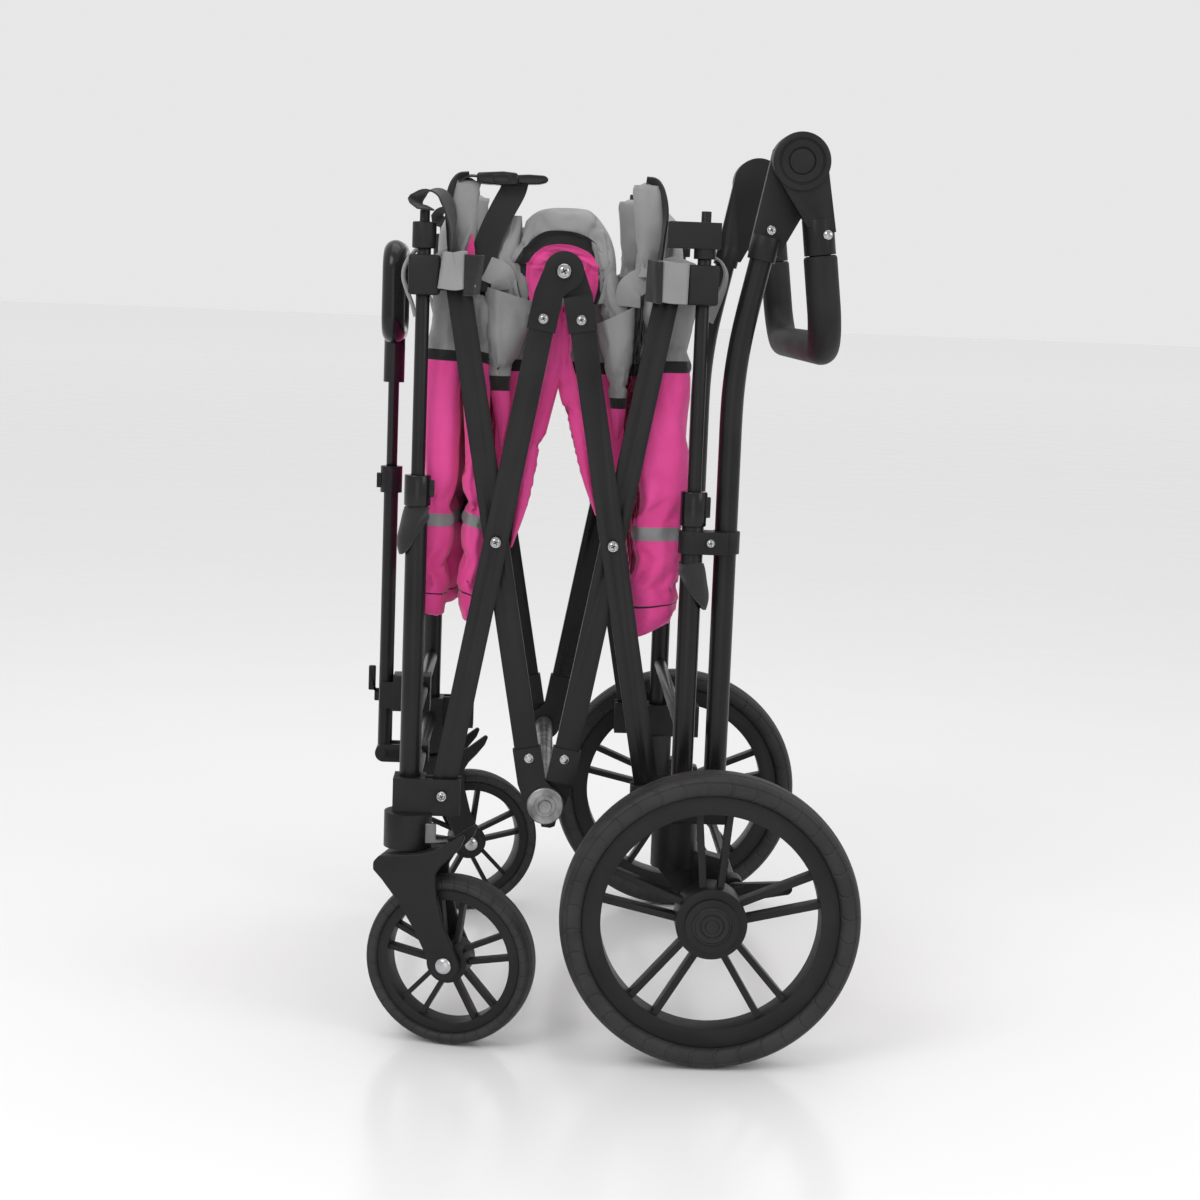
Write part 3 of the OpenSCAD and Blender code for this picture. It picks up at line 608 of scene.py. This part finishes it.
def arch(s):
    """The side wall's top, folded over the hub: grey outside, a black band, and pink around the hub"""
    finishes = ["grey_fabric", "binding", "pink_fabric"]
    reaches = np.array([[54, 50, 62], [48, 41, 44], [38, 36, 30], [17, 17, 17]], float)
    steps = levels([0, 1, 2, 3], 0.14)
    rows = []
    for t in steps:
        front, rear, high = (np.interp(t, range(4), reaches[:, k]) for k in range(3))
        if t < 1:
            over, fold = 13 * math.sin(math.pi * t ** 0.6 * 0.55), 0.6
        else:
            over, fold = 12.8 - 6 * min(1, (t - 1) * 6) - 3 * (t > 2) - 2 * (t - 1), 0.3
        row = []
        for a in np.linspace(-0.55, math.pi + 0.55, 77):
            c, sn = math.cos(a), math.sin(a)
            reach = (rear if c > 0 else front) * abs(c) ** 0.92 * (1 if c > 0 else -1)
            crease = 2.2 * math.sin(5 * a + 1) + 1.3 * math.sin(11 * a + 2 * t)
            row.append((hub[0] + reach, s * (cloth_y - 13 + over + crease * fold),
                hub[2] + high * max(0, sn) ** 0.9 + min(0, sn) * 60 + 1.2 * math.sin(7 * a) * (t < 1)))
        rows.append(row)
    turned_in = [[(x, s * (abs(y) - inwards), z + up) for x, y, z in rows[0]] for inwards,
        up in ((30, -5), (14, 1))]
    pick = lambda i: min(2, int(steps[max(0, i - 2)] + 1e-6))
    piece = skin(f"arch_{SIDES[s]}", turned_in + rows, finishes, "side_folds", pick=pick, angle=80)

    def hold(p):
        near_hub = math.hypot(p.x - hub[0], p.z - hub[2]) < 21
        return 1.0 if near_hub or abs(p.y) < cloth_y - 36 or p.z < hub[2] - 12 else 0.0

    settle_later(piece, hold, 0.0, 0.10, 4)
    return piece


def notch(s):
    """The middle of the side wall, folded in the gap under the hub and drawn down along both bars"""
    gussets = ([(-282, -45, -43, 3), (-235, -40, -28, 7), (-168, -31, -16, 8), (-110, -20, -3, 9),
        (-80, -15, 7, 10), (-34, -11, 4, 9), (-27, -8, 2, 5)], [(-246, 41, 43, 3), (-207, 26, 36, 6),
        (-156, 12, 30, 8), (-112, 1, 22, 9), (-80, -3, 13, 9), (-34, 0, 10, 8), (-27, 1, 8, 5)])
    z = hub[2]
    pieces = []
    for k, stations in enumerate(map(from_hub, gussets)):
        heights = levels([stations[0, 0], z - 34, stations[-1, 0]], 5)
        left, right, deep = (curve_values(stations, n, heights) for n in (1, 2, 3))
        rows = []
        for h, x0, x1, d in zip(heights, left, right, deep):
            row = []
            for a in turns(30):
                crease = 1 - 0.35 * math.exp(-(wrapped(a - 1.3) / 0.3) ** 2) * (h > z - 110)
                row.append(((x0 + x1) / 2 + math.cos(a) * (x1 - x0) / 2,
                    s * (cloth_y - 5 + math.sin(a) * d * crease + 2 * k), h))
            rows.append(row)
        pick = lambda i, heights=heights: 1 if heights[i] > z - 34.1 else 0
        piece = facing(skin(f"gusset_{'fr'[k]}_{SIDES[s]}", rows, ["pink_fabric", "grey_fabric"], "side_folds",
            wrap=True, caps=True, pick=pick, angle=75))
        settle_later(piece, lambda p, low=heights[0]: 1.0 if p.z > z - 32 else min(1.0,
            max(0.0, (low + 120 - p.z) / 80)), 2.5, 0.08, 3.5)
        pieces.append(piece)
    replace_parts(pieces[0], f"side_fold_{SIDES[s]}")


PLEAT_DEPTH = 14
PLEATS = 12


def pleats(name, s, x_end, x_fold, bodies, hem, z_high, band):
    """Half of the side wall: an accordion from an end wall at x_end to x_fold, and a flat part beyond x_fold,
    under the arch. bodies is not used. hem is its lower edge, as (distance from x_end, height)"""
    reach = hem[-1][0]
    way = 1 if x_fold > x_end else -1
    folded = np.linspace(0, abs(x_fold - x_end), PLEATS * 8 + 1)
    across = np.concatenate([folded, np.linspace(folded[-1], reach, 12)[1:]])
    lower = np.interp(across, *zip(*hem))
    pink = [[low + share * (band[0] - low) for low in lower] for share in np.linspace(0, 1, 16, endpoint=False)]
    upper = [[z] * len(across) for z in levels([band[0], band[1], z_high], 14)]
    rows = []
    for heights in pink + upper:
        row = []
        for d, z in zip(across, heights):
            wave = math.cos(2 * math.pi * PLEATS * d / folded[-1]) if d < folded[-1] else 1
            depth = PLEAT_DEPTH * (1 - wave) / 2 * (0.9 + 0.1 * math.sin(z / 50 + d))
            row.append((x_end + way * d, s * (cloth_y - 24 - depth + ripple(z, d / 9, 0.5)), z))
        rows.append(row)
    pick = lambda i: 0 if i < len(pink) else 1 if upper[i - len(pink)][0] < band[1] - 0.1 else 2
    piece = skin(name, rows, ["pink_fabric", "binding", "grey_fabric"], None, pick=pick, angle=80)
    settle_later(piece, lambda p: 1.0 if abs(p.x - x_end) < 2.5 or (p.x - x_fold) * way > -2 else 0.6, 0.0,
        0.04, 2)
    return piece, bodies, (x_end, x_fold), 2 * PLEATS * PLEAT_DEPTH + reach - folded[-1], z_high - min(lower)


def side_pleats():
    made = []
    for s in (NEAR, FAR):
        made.append(pleats(f"rear_pleats_{SIDES[s]}", s, 26, 8, ("rear_sliders", "side_folds"),
            [(0, 452), (13, 530), (18, 546), (45, 560), (54, 594), (64, 644), (75, 686)], 790, (690, 702)))
        made.append(pleats(f"front_pleats_{SIDES[s]}", s, -136, -124, ("front_side_liner", "side_folds"),
            [(0, 452), (8, 520), (12, 540), (38, 550), (49, 606), (64, 686)], 770, (690, 702)))
    return made


def join_pleats(made):
    for piece, bodies, (x_a, x_b), width, height in made:
        a, b = (Vector((x / 1000, 0, 0)) for x in (x_a, x_b))
        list(bodies)
        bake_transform(piece)
        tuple(a)
        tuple(b)


def crumple_rolls():
    """Gives each roll its own copy of its mesh"""
    for s in (NEAR, FAR):
        for name, keep in (("front_roll", 0.80), ("front_liner_roll", 0.80), ("rear_roll", 0.90)):
            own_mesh(bpy.data.objects[f"{name}_{SIDES[s]}"])


# ---- Scene ----

def camera():
    """The photograph's viewpoint, found from the tyres, hubs and posts"""
    yaw, pitch, roll = (math.radians(a) for a in (1.936, 7.963, 2.228))
    right0 = Vector((math.cos(yaw), -math.sin(yaw), 0))
    ahead = Vector((math.sin(yaw) * math.cos(pitch), math.cos(yaw) * math.cos(pitch), -math.sin(pitch)))
    up0 = right0.cross(ahead)
    right = right0 * math.cos(roll) + up0 * math.sin(roll)
    up = up0 * math.cos(roll) - right0 * math.sin(roll)
    data = bpy.data.cameras.new("camera")
    data.lens = 65
    data.sensor_width = 36
    made = linked("camera", data)
    made.matrix_world = Matrix.Translation((-0.085303, -2.410492, 0.768954)) @ Matrix((right, up,
        -ahead)).transposed().to_4x4()
    bpy.context.scene.camera = made


def studio():
    made, tree, shader = start_material("floor")
    place = add(tree, "ShaderNodeTexCoord").outputs["Object"]
    tree.links.new(shade(tree, noise(tree, place, 2.0), (0.885, 0.885, 0.885), (0.90, 0.90, 0.90)),
        shader.inputs["Base Color"])
    tree.links.new(spread(tree, noise(tree, place, 6.0), 0.19, 0.21), shader.inputs["Roughness"])
    shader.inputs["Specular IOR Level"].default_value = 0.45
    mesh = bpy.data.meshes.new("floor")
    mesh.from_pydata([(-60, -60, 0), (60, -60, 0), (60, 60, 0), (-60, 60, 0)], [], [(0, 1, 2, 3)])
    mesh.materials.append(made)
    floor = linked("floor", mesh)
    for name, place, power, size in (("key", (-1.6, -2.2, 2.6), 30, 1.4), ("fill", (2.2, -1.6, 1.6), 12, 1.4),
                                     ("top", (0, 0.2, 3.0), 18, 2.0), ("low", (-0.2, -2.6, 0.5), 3, 1.2)):
        lamp = bpy.data.lights.new(name, "AREA")
        lamp.energy = power
        lamp.size = size
        light = linked(name, lamp)
        light.location = place
        light.rotation_euler = (Vector((-0.05, 0, 0.45)) - Vector(place)).to_track_quat("-Z", "Y").to_euler()
    world = bpy.data.worlds.new("studio")
    bpy.context.scene.world = world
    world.use_nodes = True
    world.node_tree.nodes["Background"].inputs["Color"].default_value = (1, 1, 1, 1)
    world.node_tree.nodes["Background"].inputs["Strength"].default_value = 0.8
    bpy.context.scene.view_settings.view_transform = "Standard"


# ---- Hardware ----

REPLACED = ("basket_wall", "side_fold_", "side_liner", "floor_board", "_tyre_", "caster_fork", "bottom_hub",
    "handle_tubes")


def hardware():
    """Every hard CAD node that keeps its shape, with rounded edges"""
    widths = {"frame_steel": 0.7, "black_plastic": 1.3, "gloss_plastic": 1.0, "fastener_chrome": 1.1,
        "foam": 3.0}
    for part in frame["record"]["subparts"]:
        node, finish = part["node"], part["material_slot"]
        if any(word in node for word in REPLACED):
            continue
        if "collars" in node:
            finish = "gloss_plastic"
        if "swivel_lock" in node:
            finish = "spring_steel"
        piece = softened(node, 3.5 if node.endswith("_sliders") else widths.get(finish, 1.0), finish)
        if finish == "fastener_chrome" and "screws" in node:
            screw_heads(piece, node)


def islands(mesh):
    """The points of each separate solid in a mesh, in millimetres"""
    shape = bmesh.new()
    shape.from_mesh(mesh)
    left = set(shape.verts)
    while left:
        reached = [left.pop()]
        points = []
        while reached:
            v = reached.pop()
            points.append(v.co * 1000)
            for e in v.link_edges:
                w = e.other_vert(v)
                if w in left:
                    left.discard(w)
                    reached.append(w)
        yield np.array([tuple(p) for p in points])
    shape.free()


def screw_heads(piece, node):
    """A domed face on the outer end of every screw of a node, with the cross of its driving slots drawn as
    black bars of painted shade
    """
    body = frame["nodes"][node]["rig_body"]
    for k, points in enumerate(islands(piece.data)):
        s = FAR if points[:, 1].mean() > 0 else NEAR
        face = np.abs(points[:, 1]).max()
        rim = points[np.abs(points[:, 1]) > face - 2.5]
        low, high = rim.min(0), rim.max(0)
        r = (high[0] - low[0]) / 2
        if abs(r - (high[2] - low[2]) / 2) > 0.5 or r > 12:
            continue
        centre = ((low[0] + high[0]) / 2, s * (face - 0.4), (low[2] + high[2]) / 2)
        profile = [(r * a, s * r * b) for a, b in ((1.02, -0.1), (1.05, 0.08), (0.95, 0.20), (0.80, 0.23),
            (0.74, 0.19), (0.68, 0.25), (0.45, 0.36), (0.02, 0.42))]
        lathe(f"{node}_head_{k}", profile, "fastener_chrome", body, centre, segments=32)
        # Painted shade: black bars lie on the dome where the cross-shaped slots would be; nothing is cut
        for turned in (0.5, 0.5 + math.pi / 2):
            along, out = np.array([math.cos(turned), 0, math.sin(turned)]) * r * 0.44, np.array([0,
                s * r * 0.36, 0])
            ribbon(f"{node}_recess_{k}_{turned:.0f}", [np.array(centre) + out - along,
                np.array(centre) + out * 1.12, np.array(centre) + out + along], r * 0.2, "binding", body,
                (-math.sin(turned), 0, math.cos(turned)), r * 0.12, count=8)


CASTER_TURN = math.radians(14)
CASTER_Y = 236.0


def tyre(node, body, turned=0.0):
    """A tyre with a shoulder line on its side wall and two grooves in its tread"""
    low, high = span(node)
    centre = (low + high) / 2
    outer = (high[2] - low[2]) / 2
    w = 22 if outer > 120 else 17
    inner = 129.6 if outer > 120 else 74.9
    k = (outer - inner) / 22.8
    half = [(0, 0.55), (0.8, 0.78), (3.5, 0.93), (8, 1.0), (12.5, 0.985), (14.6, 0.955), (15.1, 0.925),
        (15.8, 0.92), (16.4, 0.935), (18.6, 0.86), (20.4, 0.72), (21.6, 0.52), (21.8, 0.46), (20.9, 0.44),
        (20.9, 0.38), (22.1, 0.36), (22.6, 0.2), (22.8, 0.0)]
    side = [(inner + a * k, -b * w) for a, b in half]
    profile = side + [(r, -y) for r, y in reversed(side[:-1])]
    piece = lathe(node + "_rubber", profile, "tyre", body, centre, segments=144, closed=True, turned=turned)
    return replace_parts(piece, node)


def tyres():
    for s, name in SIDES.items():
        tyre(f"rear_tyre_{name}", f"rear_wheel_{name}")
        tyre(f"front_tyre_{name}", f"front_wheel_{name}", CASTER_TURN * s)


def fork(s):
    """A caster fork: a swept blade on each side of the wheel, joined by a crown under the housing"""
    name = SIDES[s]
    body = f"caster_{name}"
    stem = Matrix.Translation((front_post[0] / 1000, s * CASTER_Y / 1000, 0)) @ Matrix.Rotation(CASTER_TURN * s,
        4, "Z")
    wheel_z = middle(f"front_wheel_{name}")[2]
    blade = [(-28, 190), (-22, 197), (0, 200), (22, 203), (44, 211), (58, 221), (65, 226), (68, 224), (64, 214),
        (54, 202), (44, 192), (38, 182), (40, 160), (48, 130), (60, 104), (66, 92), (65, 82), (58, 74),
        (48, 73), (40, 78), (34, 90), (18, 122), (0, 150), (-18, 172), (-28, 182)]
    pieces = []
    for k, (y0, y1) in enumerate(((-27.5, -20.5), (20.5, 27.5))):
        pieces.append(slab(f"fork_{k}_{name}", blade, y0, y1, "black_plastic", None, bevel=2.2))
    crown = [(-28, 190), (-22, 197), (0, 200), (22, 203), (40, 208), (46, 200), (38, 186), (30, 180),
        (-10, 180), (-26, 184)]
    pieces.append(slab(f"fork_crown_{name}", crown, -21.5, 21.5, "black_plastic", None, bevel=2.2))
    for piece in pieces:
        piece.matrix_world = stem
        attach(piece, body)
    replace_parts(pieces[0], f"caster_fork_{name}")
    for k, side in enumerate((-1, 1)):
        profile = [(9, 27.0), (9, 28.5), (8.2, 30.2), (6.2, 31.6), (3.4, 32.4), (0.4, 32.7)]
        dome = lathe(f"fork_bolt_{k}_{name}", [(r, side * y) for r, y in profile], "fastener_chrome", body,
            (0, 0, 0), segments=40)
        dome.parent = None
        dome.matrix_world = stem @ Matrix.Translation((0.05, 0, wheel_z / 1000))
        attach(dome, body)


def bottom_hub():
    """The lower hub's turned steel discs and the tube between them, with a black tab under each disc"""
    low, high = span("bottom_hub")
    centre = (low + high) / 2
    end = low[1]
    profile = [(0.4, end), (6.5, end), (7, end + 1.2), (7, end + 3.2), (11, end + 3.4), (11.4, end + 3.9),
        (18, end + 4.0), (19, end + 4.8), (19, end + 9.4), (18.4, end + 10), (5, end + 10), (5, end + 22),
        (10, end + 24), (10, 0)]
    profile += [(r, -y) for r, y in reversed(profile[:-1])]
    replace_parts(lathe("hub_discs", profile, "brushed", "bottom_hub", centre, segments=72), "bottom_hub")
    x, z = centre[0], centre[2]
    tab = [(x - 5, z - 12), (x + 13, z - 12), (x + 11, z - 22), (x + 6, z - 24), (x - 3, z - 23)]
    for s, face in ((NEAR, low[1]), (FAR, high[1])):
        slab(f"hub_tab_{SIDES[s]}", tab, *sorted((face - s * 9.0, face - s * 11.5)), "black_plastic",
            "bottom_hub", bevel=0.8)


def handle_tubes():
    """The bent handle tubes, swept smoothly through the middles of the CAD tubes' rings"""
    points = np.array([v.co for v in frame["nodes"]["handle_tubes"].data.vertices]) * 1000
    for s in (NEAR, FAR):
        side = points[points[:, 1] * s > 0]
        side = side[np.argsort(side[:, 2])]
        rings = np.split(side, np.where(np.diff(side[:, 2]) > 5)[0] + 1)
        centres = [(ring.min(0) + ring.max(0)) / 2 for ring in rings]
        path = [centres[0]]
        for a, b in zip(centres, centres[1:]):
            parts = max(1, round(np.linalg.norm(b - a) / 28))
            path += [a + (b - a) * k / parts for k in range(1, parts + 1)]
        piece = cord_tube(f"handle_tube_{SIDES[s]}", path, 11.5, "frame_steel", "rear_frame", count=90,
            sides=48)
        if s == NEAR:
            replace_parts(piece, "handle_tubes")


def hub_caps():
    """The stepped round caps on the rear wheels"""
    for s in (NEAR, FAR):
        node = f"rear_wheel_{SIDES[s]}"
        low, high = span(node)
        centre = (low + high) / 2
        face = high[1] if s > 0 else low[1]
        profile = [(19.6, -2.0), (19.6, 0.2), (18.8, 1.0), (17.4, 1.1), (16.9, 0.2), (12.6, 0.2), (12.1, 1.0),
            (11.2, 1.1), (10.6, 0.3), (7.2, 0.3), (6.6, 1.0), (0.3, 1.3)]
        lathe(f"hub_cap_{SIDES[s]}", [(r, s * y) for r, y in profile], "gloss_plastic", node,
            (centre[0], face, centre[2]), segments=72)


def lower_fitting_screws():
    """A domed screw in each lower hub fitting, below the ones in the upper fittings"""
    for side, body in (("front", "front_inner_bars"), ("rear", "rear_inner_bars")):
        low, high = span(f"{side}_inner_fittings")
        x = low[0] + 17 if side == "front" else high[0] - 17
        for s in (NEAR, FAR):
            face = s * (high[1] - 0.2)
            profile = [(4.9, -0.3), (5.1, 0.4), (4.6, 1.0), (3.9, 1.1), (3.4, 1.4), (2.2, 1.9), (0.1, 2.1)]
            lathe(f"{side}_lower_screw_{SIDES[s]}", [(r, s * y) for r, y in profile], "fastener_chrome", body,
                (x, face, high[2] - 13), segments=32)


def handle_rings():
    """The round covers of the handle joints, with a groove around the button"""
    centre = middle("handle_button_left")
    arm_low, arm_high = span("handle_joint_arms")
    face = arm_high[1]
    dome = [(4.6, -1.0), (4.8, 0.3), (4.2, 0.9), (3.6, 1.0), (3.2, 1.3), (2.0, 1.8), (0.1, 2.0)]
    for s in (NEAR, FAR):
        lathe(f"arm_screw_{SIDES[s]}", [(r, s * y) for r, y in dome], "fastener_chrome", "push_handle",
            (arm_high[0] - 11, s * face, arm_low[2] + 22), segments=32)
        profile = [(13.5, 0), (13.5, 1.6), (14.2, 2.3), (20.6, 2.6), (21.2, 1.6), (22.4, 1.5), (23.0, 2.4),
            (27.2, 2.0), (28.8, 1.0), (29, -0.4), (29, -1)]
        lathe(f"joint_cover_{SIDES[s]}", [(r, s * y) for r, y in profile], "black_plastic", "push_handle",
            (centre[0], s * face, centre[2]))


# ---- Straps and trim ----

def slider_straps():
    """Grey strap loops around the sliders, lined with black; points are (along X, outwards, up) from a post"""
    z = middle("rear_sliders")[2]
    straps = (
        ("front", "strap", [(47, -1.5, 7), (44, -0.4, 6), (39, 1, 6), (32, 1.8, 4), (21, 0.6, 5), (18, -6, 5),
            (17.5, -18, 5)], 37, (0.14, 0, 1)),
        ("front", "strap_end", [(58, -9, 2), (52, -2, 1), (45, 1.6, 1), (41, 2, 1)], 41, (0.3, 0, 1)),
        ("rear", "strap", [(-47, -1.5, 2), (-44, -0.4, 2), (-39, 1, 2), (-30, 1.8, 1), (-19, 0.6, 1),
            (-16.5, -6, 1), (-16, -18, 1)], 41, (0.02, 0, 1)),
        ("rear", "strap_end", [(-57, -9, 3), (-52, -4, 2), (-47, 1.2, 1), (-42, 2.2, 1)], 42, (-0.16, 0, 1)))
    for s in (NEAR, FAR):
        y = s * (rear_post[1] + 16)
        for end, kind, points, width, across in straps:
            x = (front_post if end == "front" else rear_post)[0]
            path = [(x + dx, y + s * out, z + dz) for dx, out, dz in points]
            finish, thick = ("grey_fabric", 2.4) if kind == "strap" else ("webbing", 2.0)
            ribbon(f"{end}_{kind}_{SIDES[s]}", path, width, finish, f"{end}_sliders", across, thick)


def collars_of_cloth():
    """The corners of the two end walls, standing above the rim with black binding"""
    for s in (NEAR, FAR):
        y = s * (cloth_y - 5)
        for end, body, x0, lean, z1 in (("front", "front_sliders", -162, -1, 882),
                ("rear", "rear_sliders", 24, 1, 884)):
            heights = levels([790, 842, z1], 4)
            rows = []
            for z in heights:
                t = (z - 790) / (z1 - 790)
                close = math.sqrt(max(0.03, 1 - max(0, (t - 0.82) / 0.18) ** 2))
                row = []
                for a in turns(36):
                    c, sn = math.cos(a), math.sin(a)
                    fold = 1 + 0.07 * math.sin(3 * a + z / 25)
                    across = c * 15 * close * fold * (0.85 + 0.15 * t)
                    row.append((x0 + lean * (-4 * t + 3 * math.sin(t * 3)) + across,
                        y + sn * 11 * close * fold, z))
                rows.append(row)
            piece = facing(skin(f"{end}_corner_{SIDES[s]}", rows, ["grey_fabric"], body, wrap=True, caps=True,
                angle=75))
            settle_later(piece, lambda p, z1=z1: 1.0 if p.z < 794 or p.z > z1 - 6 else 0.0, 3.0, 0.10, 5)
            edge = [(x0 + lean * 12, y + s * 9, 800), (x0 + lean * 14, y + s * 10, 822),
                (x0 + lean * 16, y + s * 10, 848), (x0 + lean * 13, y + s * 9, 868),
                (x0 + lean * 6, y + s * 5, z1 - 1), (x0 - lean * 4, y + s * 3, z1 + 2)]
            if end == "front":
                ribbon(f"front_corner_lining_{SIDES[s]}", [(x0 + 8, y + s * 12.5, 796),
                    (x0 + 8, y + s * 13, 810), (x0 + 9, y + s * 12.5, 826)], 11, "pink_lining", body, (1, 0, 0),
                    1.6, count=12, taper=(11, 8, 1.5))
            ribbon(f"{end}_corner_binding_{SIDES[s]}", edge, 9, "binding", body, (0.25 * lean, s * 0.5, 0.8),
                2.4, taper=(8, 9, 9, 10, 12, 9))


def pin_loop():
    """Black webbing loops over the canopy pins of the front posts"""
    for s in (NEAR, FAR):
        x, y = front_post[0], s * front_post[1]
        ribbon(f"pin_loop_{SIDES[s]}", [(x + 26, s * 214, 806), (x + 27, y - s * 2, 838), (x + 18, y, 862),
            (x + 2, y + s * 2, 866), (x - 9, y + s * 2, 856), (x + 1, y + s * 9, 848)], 29, "webbing",
            "front_posts", [(0, 1, 0.2), (0.1, 1, 0.3), (0.2, 1, 0.4), (0.3, 1, 0.3), (0.4, 1, 0), (0.6, 1, 0)],
            1.8)


def fastening_strap():
    """The strap that keeps the stroller folded, with its side-release buckle"""
    y = -(cloth_y - 2)
    ribbon("keeper_strap", [(-143, y, 770), (-142, y - 3, 792), (-136, y - 4, 822), (-124, y - 3, 850),
        (-114, y, 870), (-111, y + 1, 881)], 26, "webbing", "front_sliders",
        [(1, 0.2, 0.1), (1, 0.1, 0.1), (1, 0, 0.3), (1, 0.1, 0.4), (1, 0.1, 0.4), (1, 0.1, 0.3)], 1.8)
    ribbon("keeper_strap_end", [(-166, y + 4, 880), (-156, y + 1, 884), (-140, y, 883), (-126, y, 883)], 24,
        "webbing", "front_sliders", (0, 1, 0.1), 1.8)
    shell = [(-150, 877), (-124, 875.5), (-110, 876), (-108, 880), (-108, 884), (-110, 888), (-124, 889),
        (-150, 887)]
    slab("buckle_shell", shell, y - 15, y + 15, "gloss_plastic", "front_sliders", bevel=2.4)
    slab("buckle_tongue", [(-112, 878.5), (-98, 877.5), (-88, 878), (-80, 880), (-78, 883), (-82, 886.5),
        (-98, 887), (-112, 886)], y - 12.5, y + 12.5, "gloss_plastic", "front_sliders", bevel=2.2)
    for side in (-1, 1):
        slab(f"buckle_catch_{'lr'[side > 0]}", [(-134, 878), (-116, 877.5), (-116, 886.5), (-134, 886)],
            y + side * 13.5 - 2.2, y + side * 13.5 + 2.2, "gloss_plastic", "front_sliders", bevel=1.5)


def leg_wraps():
    """Black webbing wound around the legs under the collars; its loose end hangs at a slant on one side"""
    for s in (NEAR, FAR):
        for name, body, post, z, lean in (("front", "front_frame", front_post, 551, -1),
                ("rear", "rear_frame", rear_post, 504, 1)):
            rows = []
            for t in np.linspace(0, 1, 15):
                row = []
                for a in turns(56):
                    side = math.sin(a) * lean
                    flap = max(0, side) ** 1.5 * math.sin(math.pi * min(1, t * 0.75)) * 7
                    r = 11.6 + 1.3 * math.sin(a + 4 * t) ** 2 + flap
                    row.append((post[0] + r * math.sin(a), s * (post[1] + r * math.cos(a)),
                        z - t * (30 + 18 * side) + 1.2 * math.sin(2 * a)))
                rows.append(row)
            inside = [[(post[0] + (x - post[0]) * 0.86, s * (post[1] + (s * y - post[1]) * 0.86), z) for x, y,
                z in row] for row in reversed(rows)]
            piece = facing(skin(f"{name}_wrap_{SIDES[s]}", rows + inside + rows[:1], ["webbing"], body,
                wrap=True, angle=50))


def edge_loops():
    """Thin grey piping at the outer edge of both end walls"""
    for s in (NEAR, FAR):
        y = s * (cloth_y + 4)
        cord_tube(f"front_piping_{SIDES[s]}", [(-196, y, 812), (-207, y, 810), (-218, y, 796), (-221, y, 782),
            (-217, y, 768), (-212, y, 756), (-208, y, 742)], 2.2, "grey_fabric", "front_sliders")
        ribbon(f"rear_tab_{SIDES[s]}", [(86, y - s * 8, 815), (98, y - s * 8, 809), (104, y - s * 8, 798),
            (103, y - s * 8, 786), (98, y - s * 8, 772), (92, y - s * 8, 758), (88, y - s * 8, 748)], 12,
            "grey_fabric", "rear_sliders", [(0, 1, 0), (0, 1, 0.1), (0.2, 1, 0), (0.2, 1, 0), (0.4, 1, 0),
            (0.7, 0.7, 0), (1, 0.3, 0)], 2.2)


def floor_boards():
    """The two halves of the padded floor, folded up against the walls"""
    for node in ("rear_floor_board", "front_floor_board"):
        low, high = span(node)
        rows = []
        for z in levels([low[2], low[2] + 6, high[2] - 6, high[2]], 9):
            end = min(z - low[2], high[2] - z, 5) / 5
            half_x = (high[0] - low[0]) / 2 * (0.35 + 0.65 * math.sqrt(end))
            half_y = high[1] - 4 * (1 - end)
            row = []
            for a in turns(96):
                c, sn = math.cos(a), math.sin(a)
                e = (abs(c) ** 10 + abs(sn) ** 10) ** -0.1
                row.append(((low[0] + high[0]) / 2 + c * e * half_x, sn * e * half_y, z))
            rows.append(row)
        piece = facing(skin(node + "_cloth", rows, ["board_fabric"], node, wrap=True, caps=True, angle=60))
        settle_later(piece, lambda p: 1.0, 0.0, 0.0, 1)
        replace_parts(piece, node)


camera()
studio()
hardware()
tyres()
for side in (NEAR, FAR):
    fork(side)
bottom_hub()
handle_tubes()
hub_caps()
lower_fitting_screws()
handle_rings()
front_wall()
rear_wall()
for side in (NEAR, FAR):
    ears(side)
    arch(side)
    notch(side)
opened = side_pleats()
collars_of_cloth()
floor_boards()
settle_all()
join_pleats(opened)
crumple_rolls()
slider_straps()
pin_loop()
fastening_strap()
leg_wraps()
edge_loops()
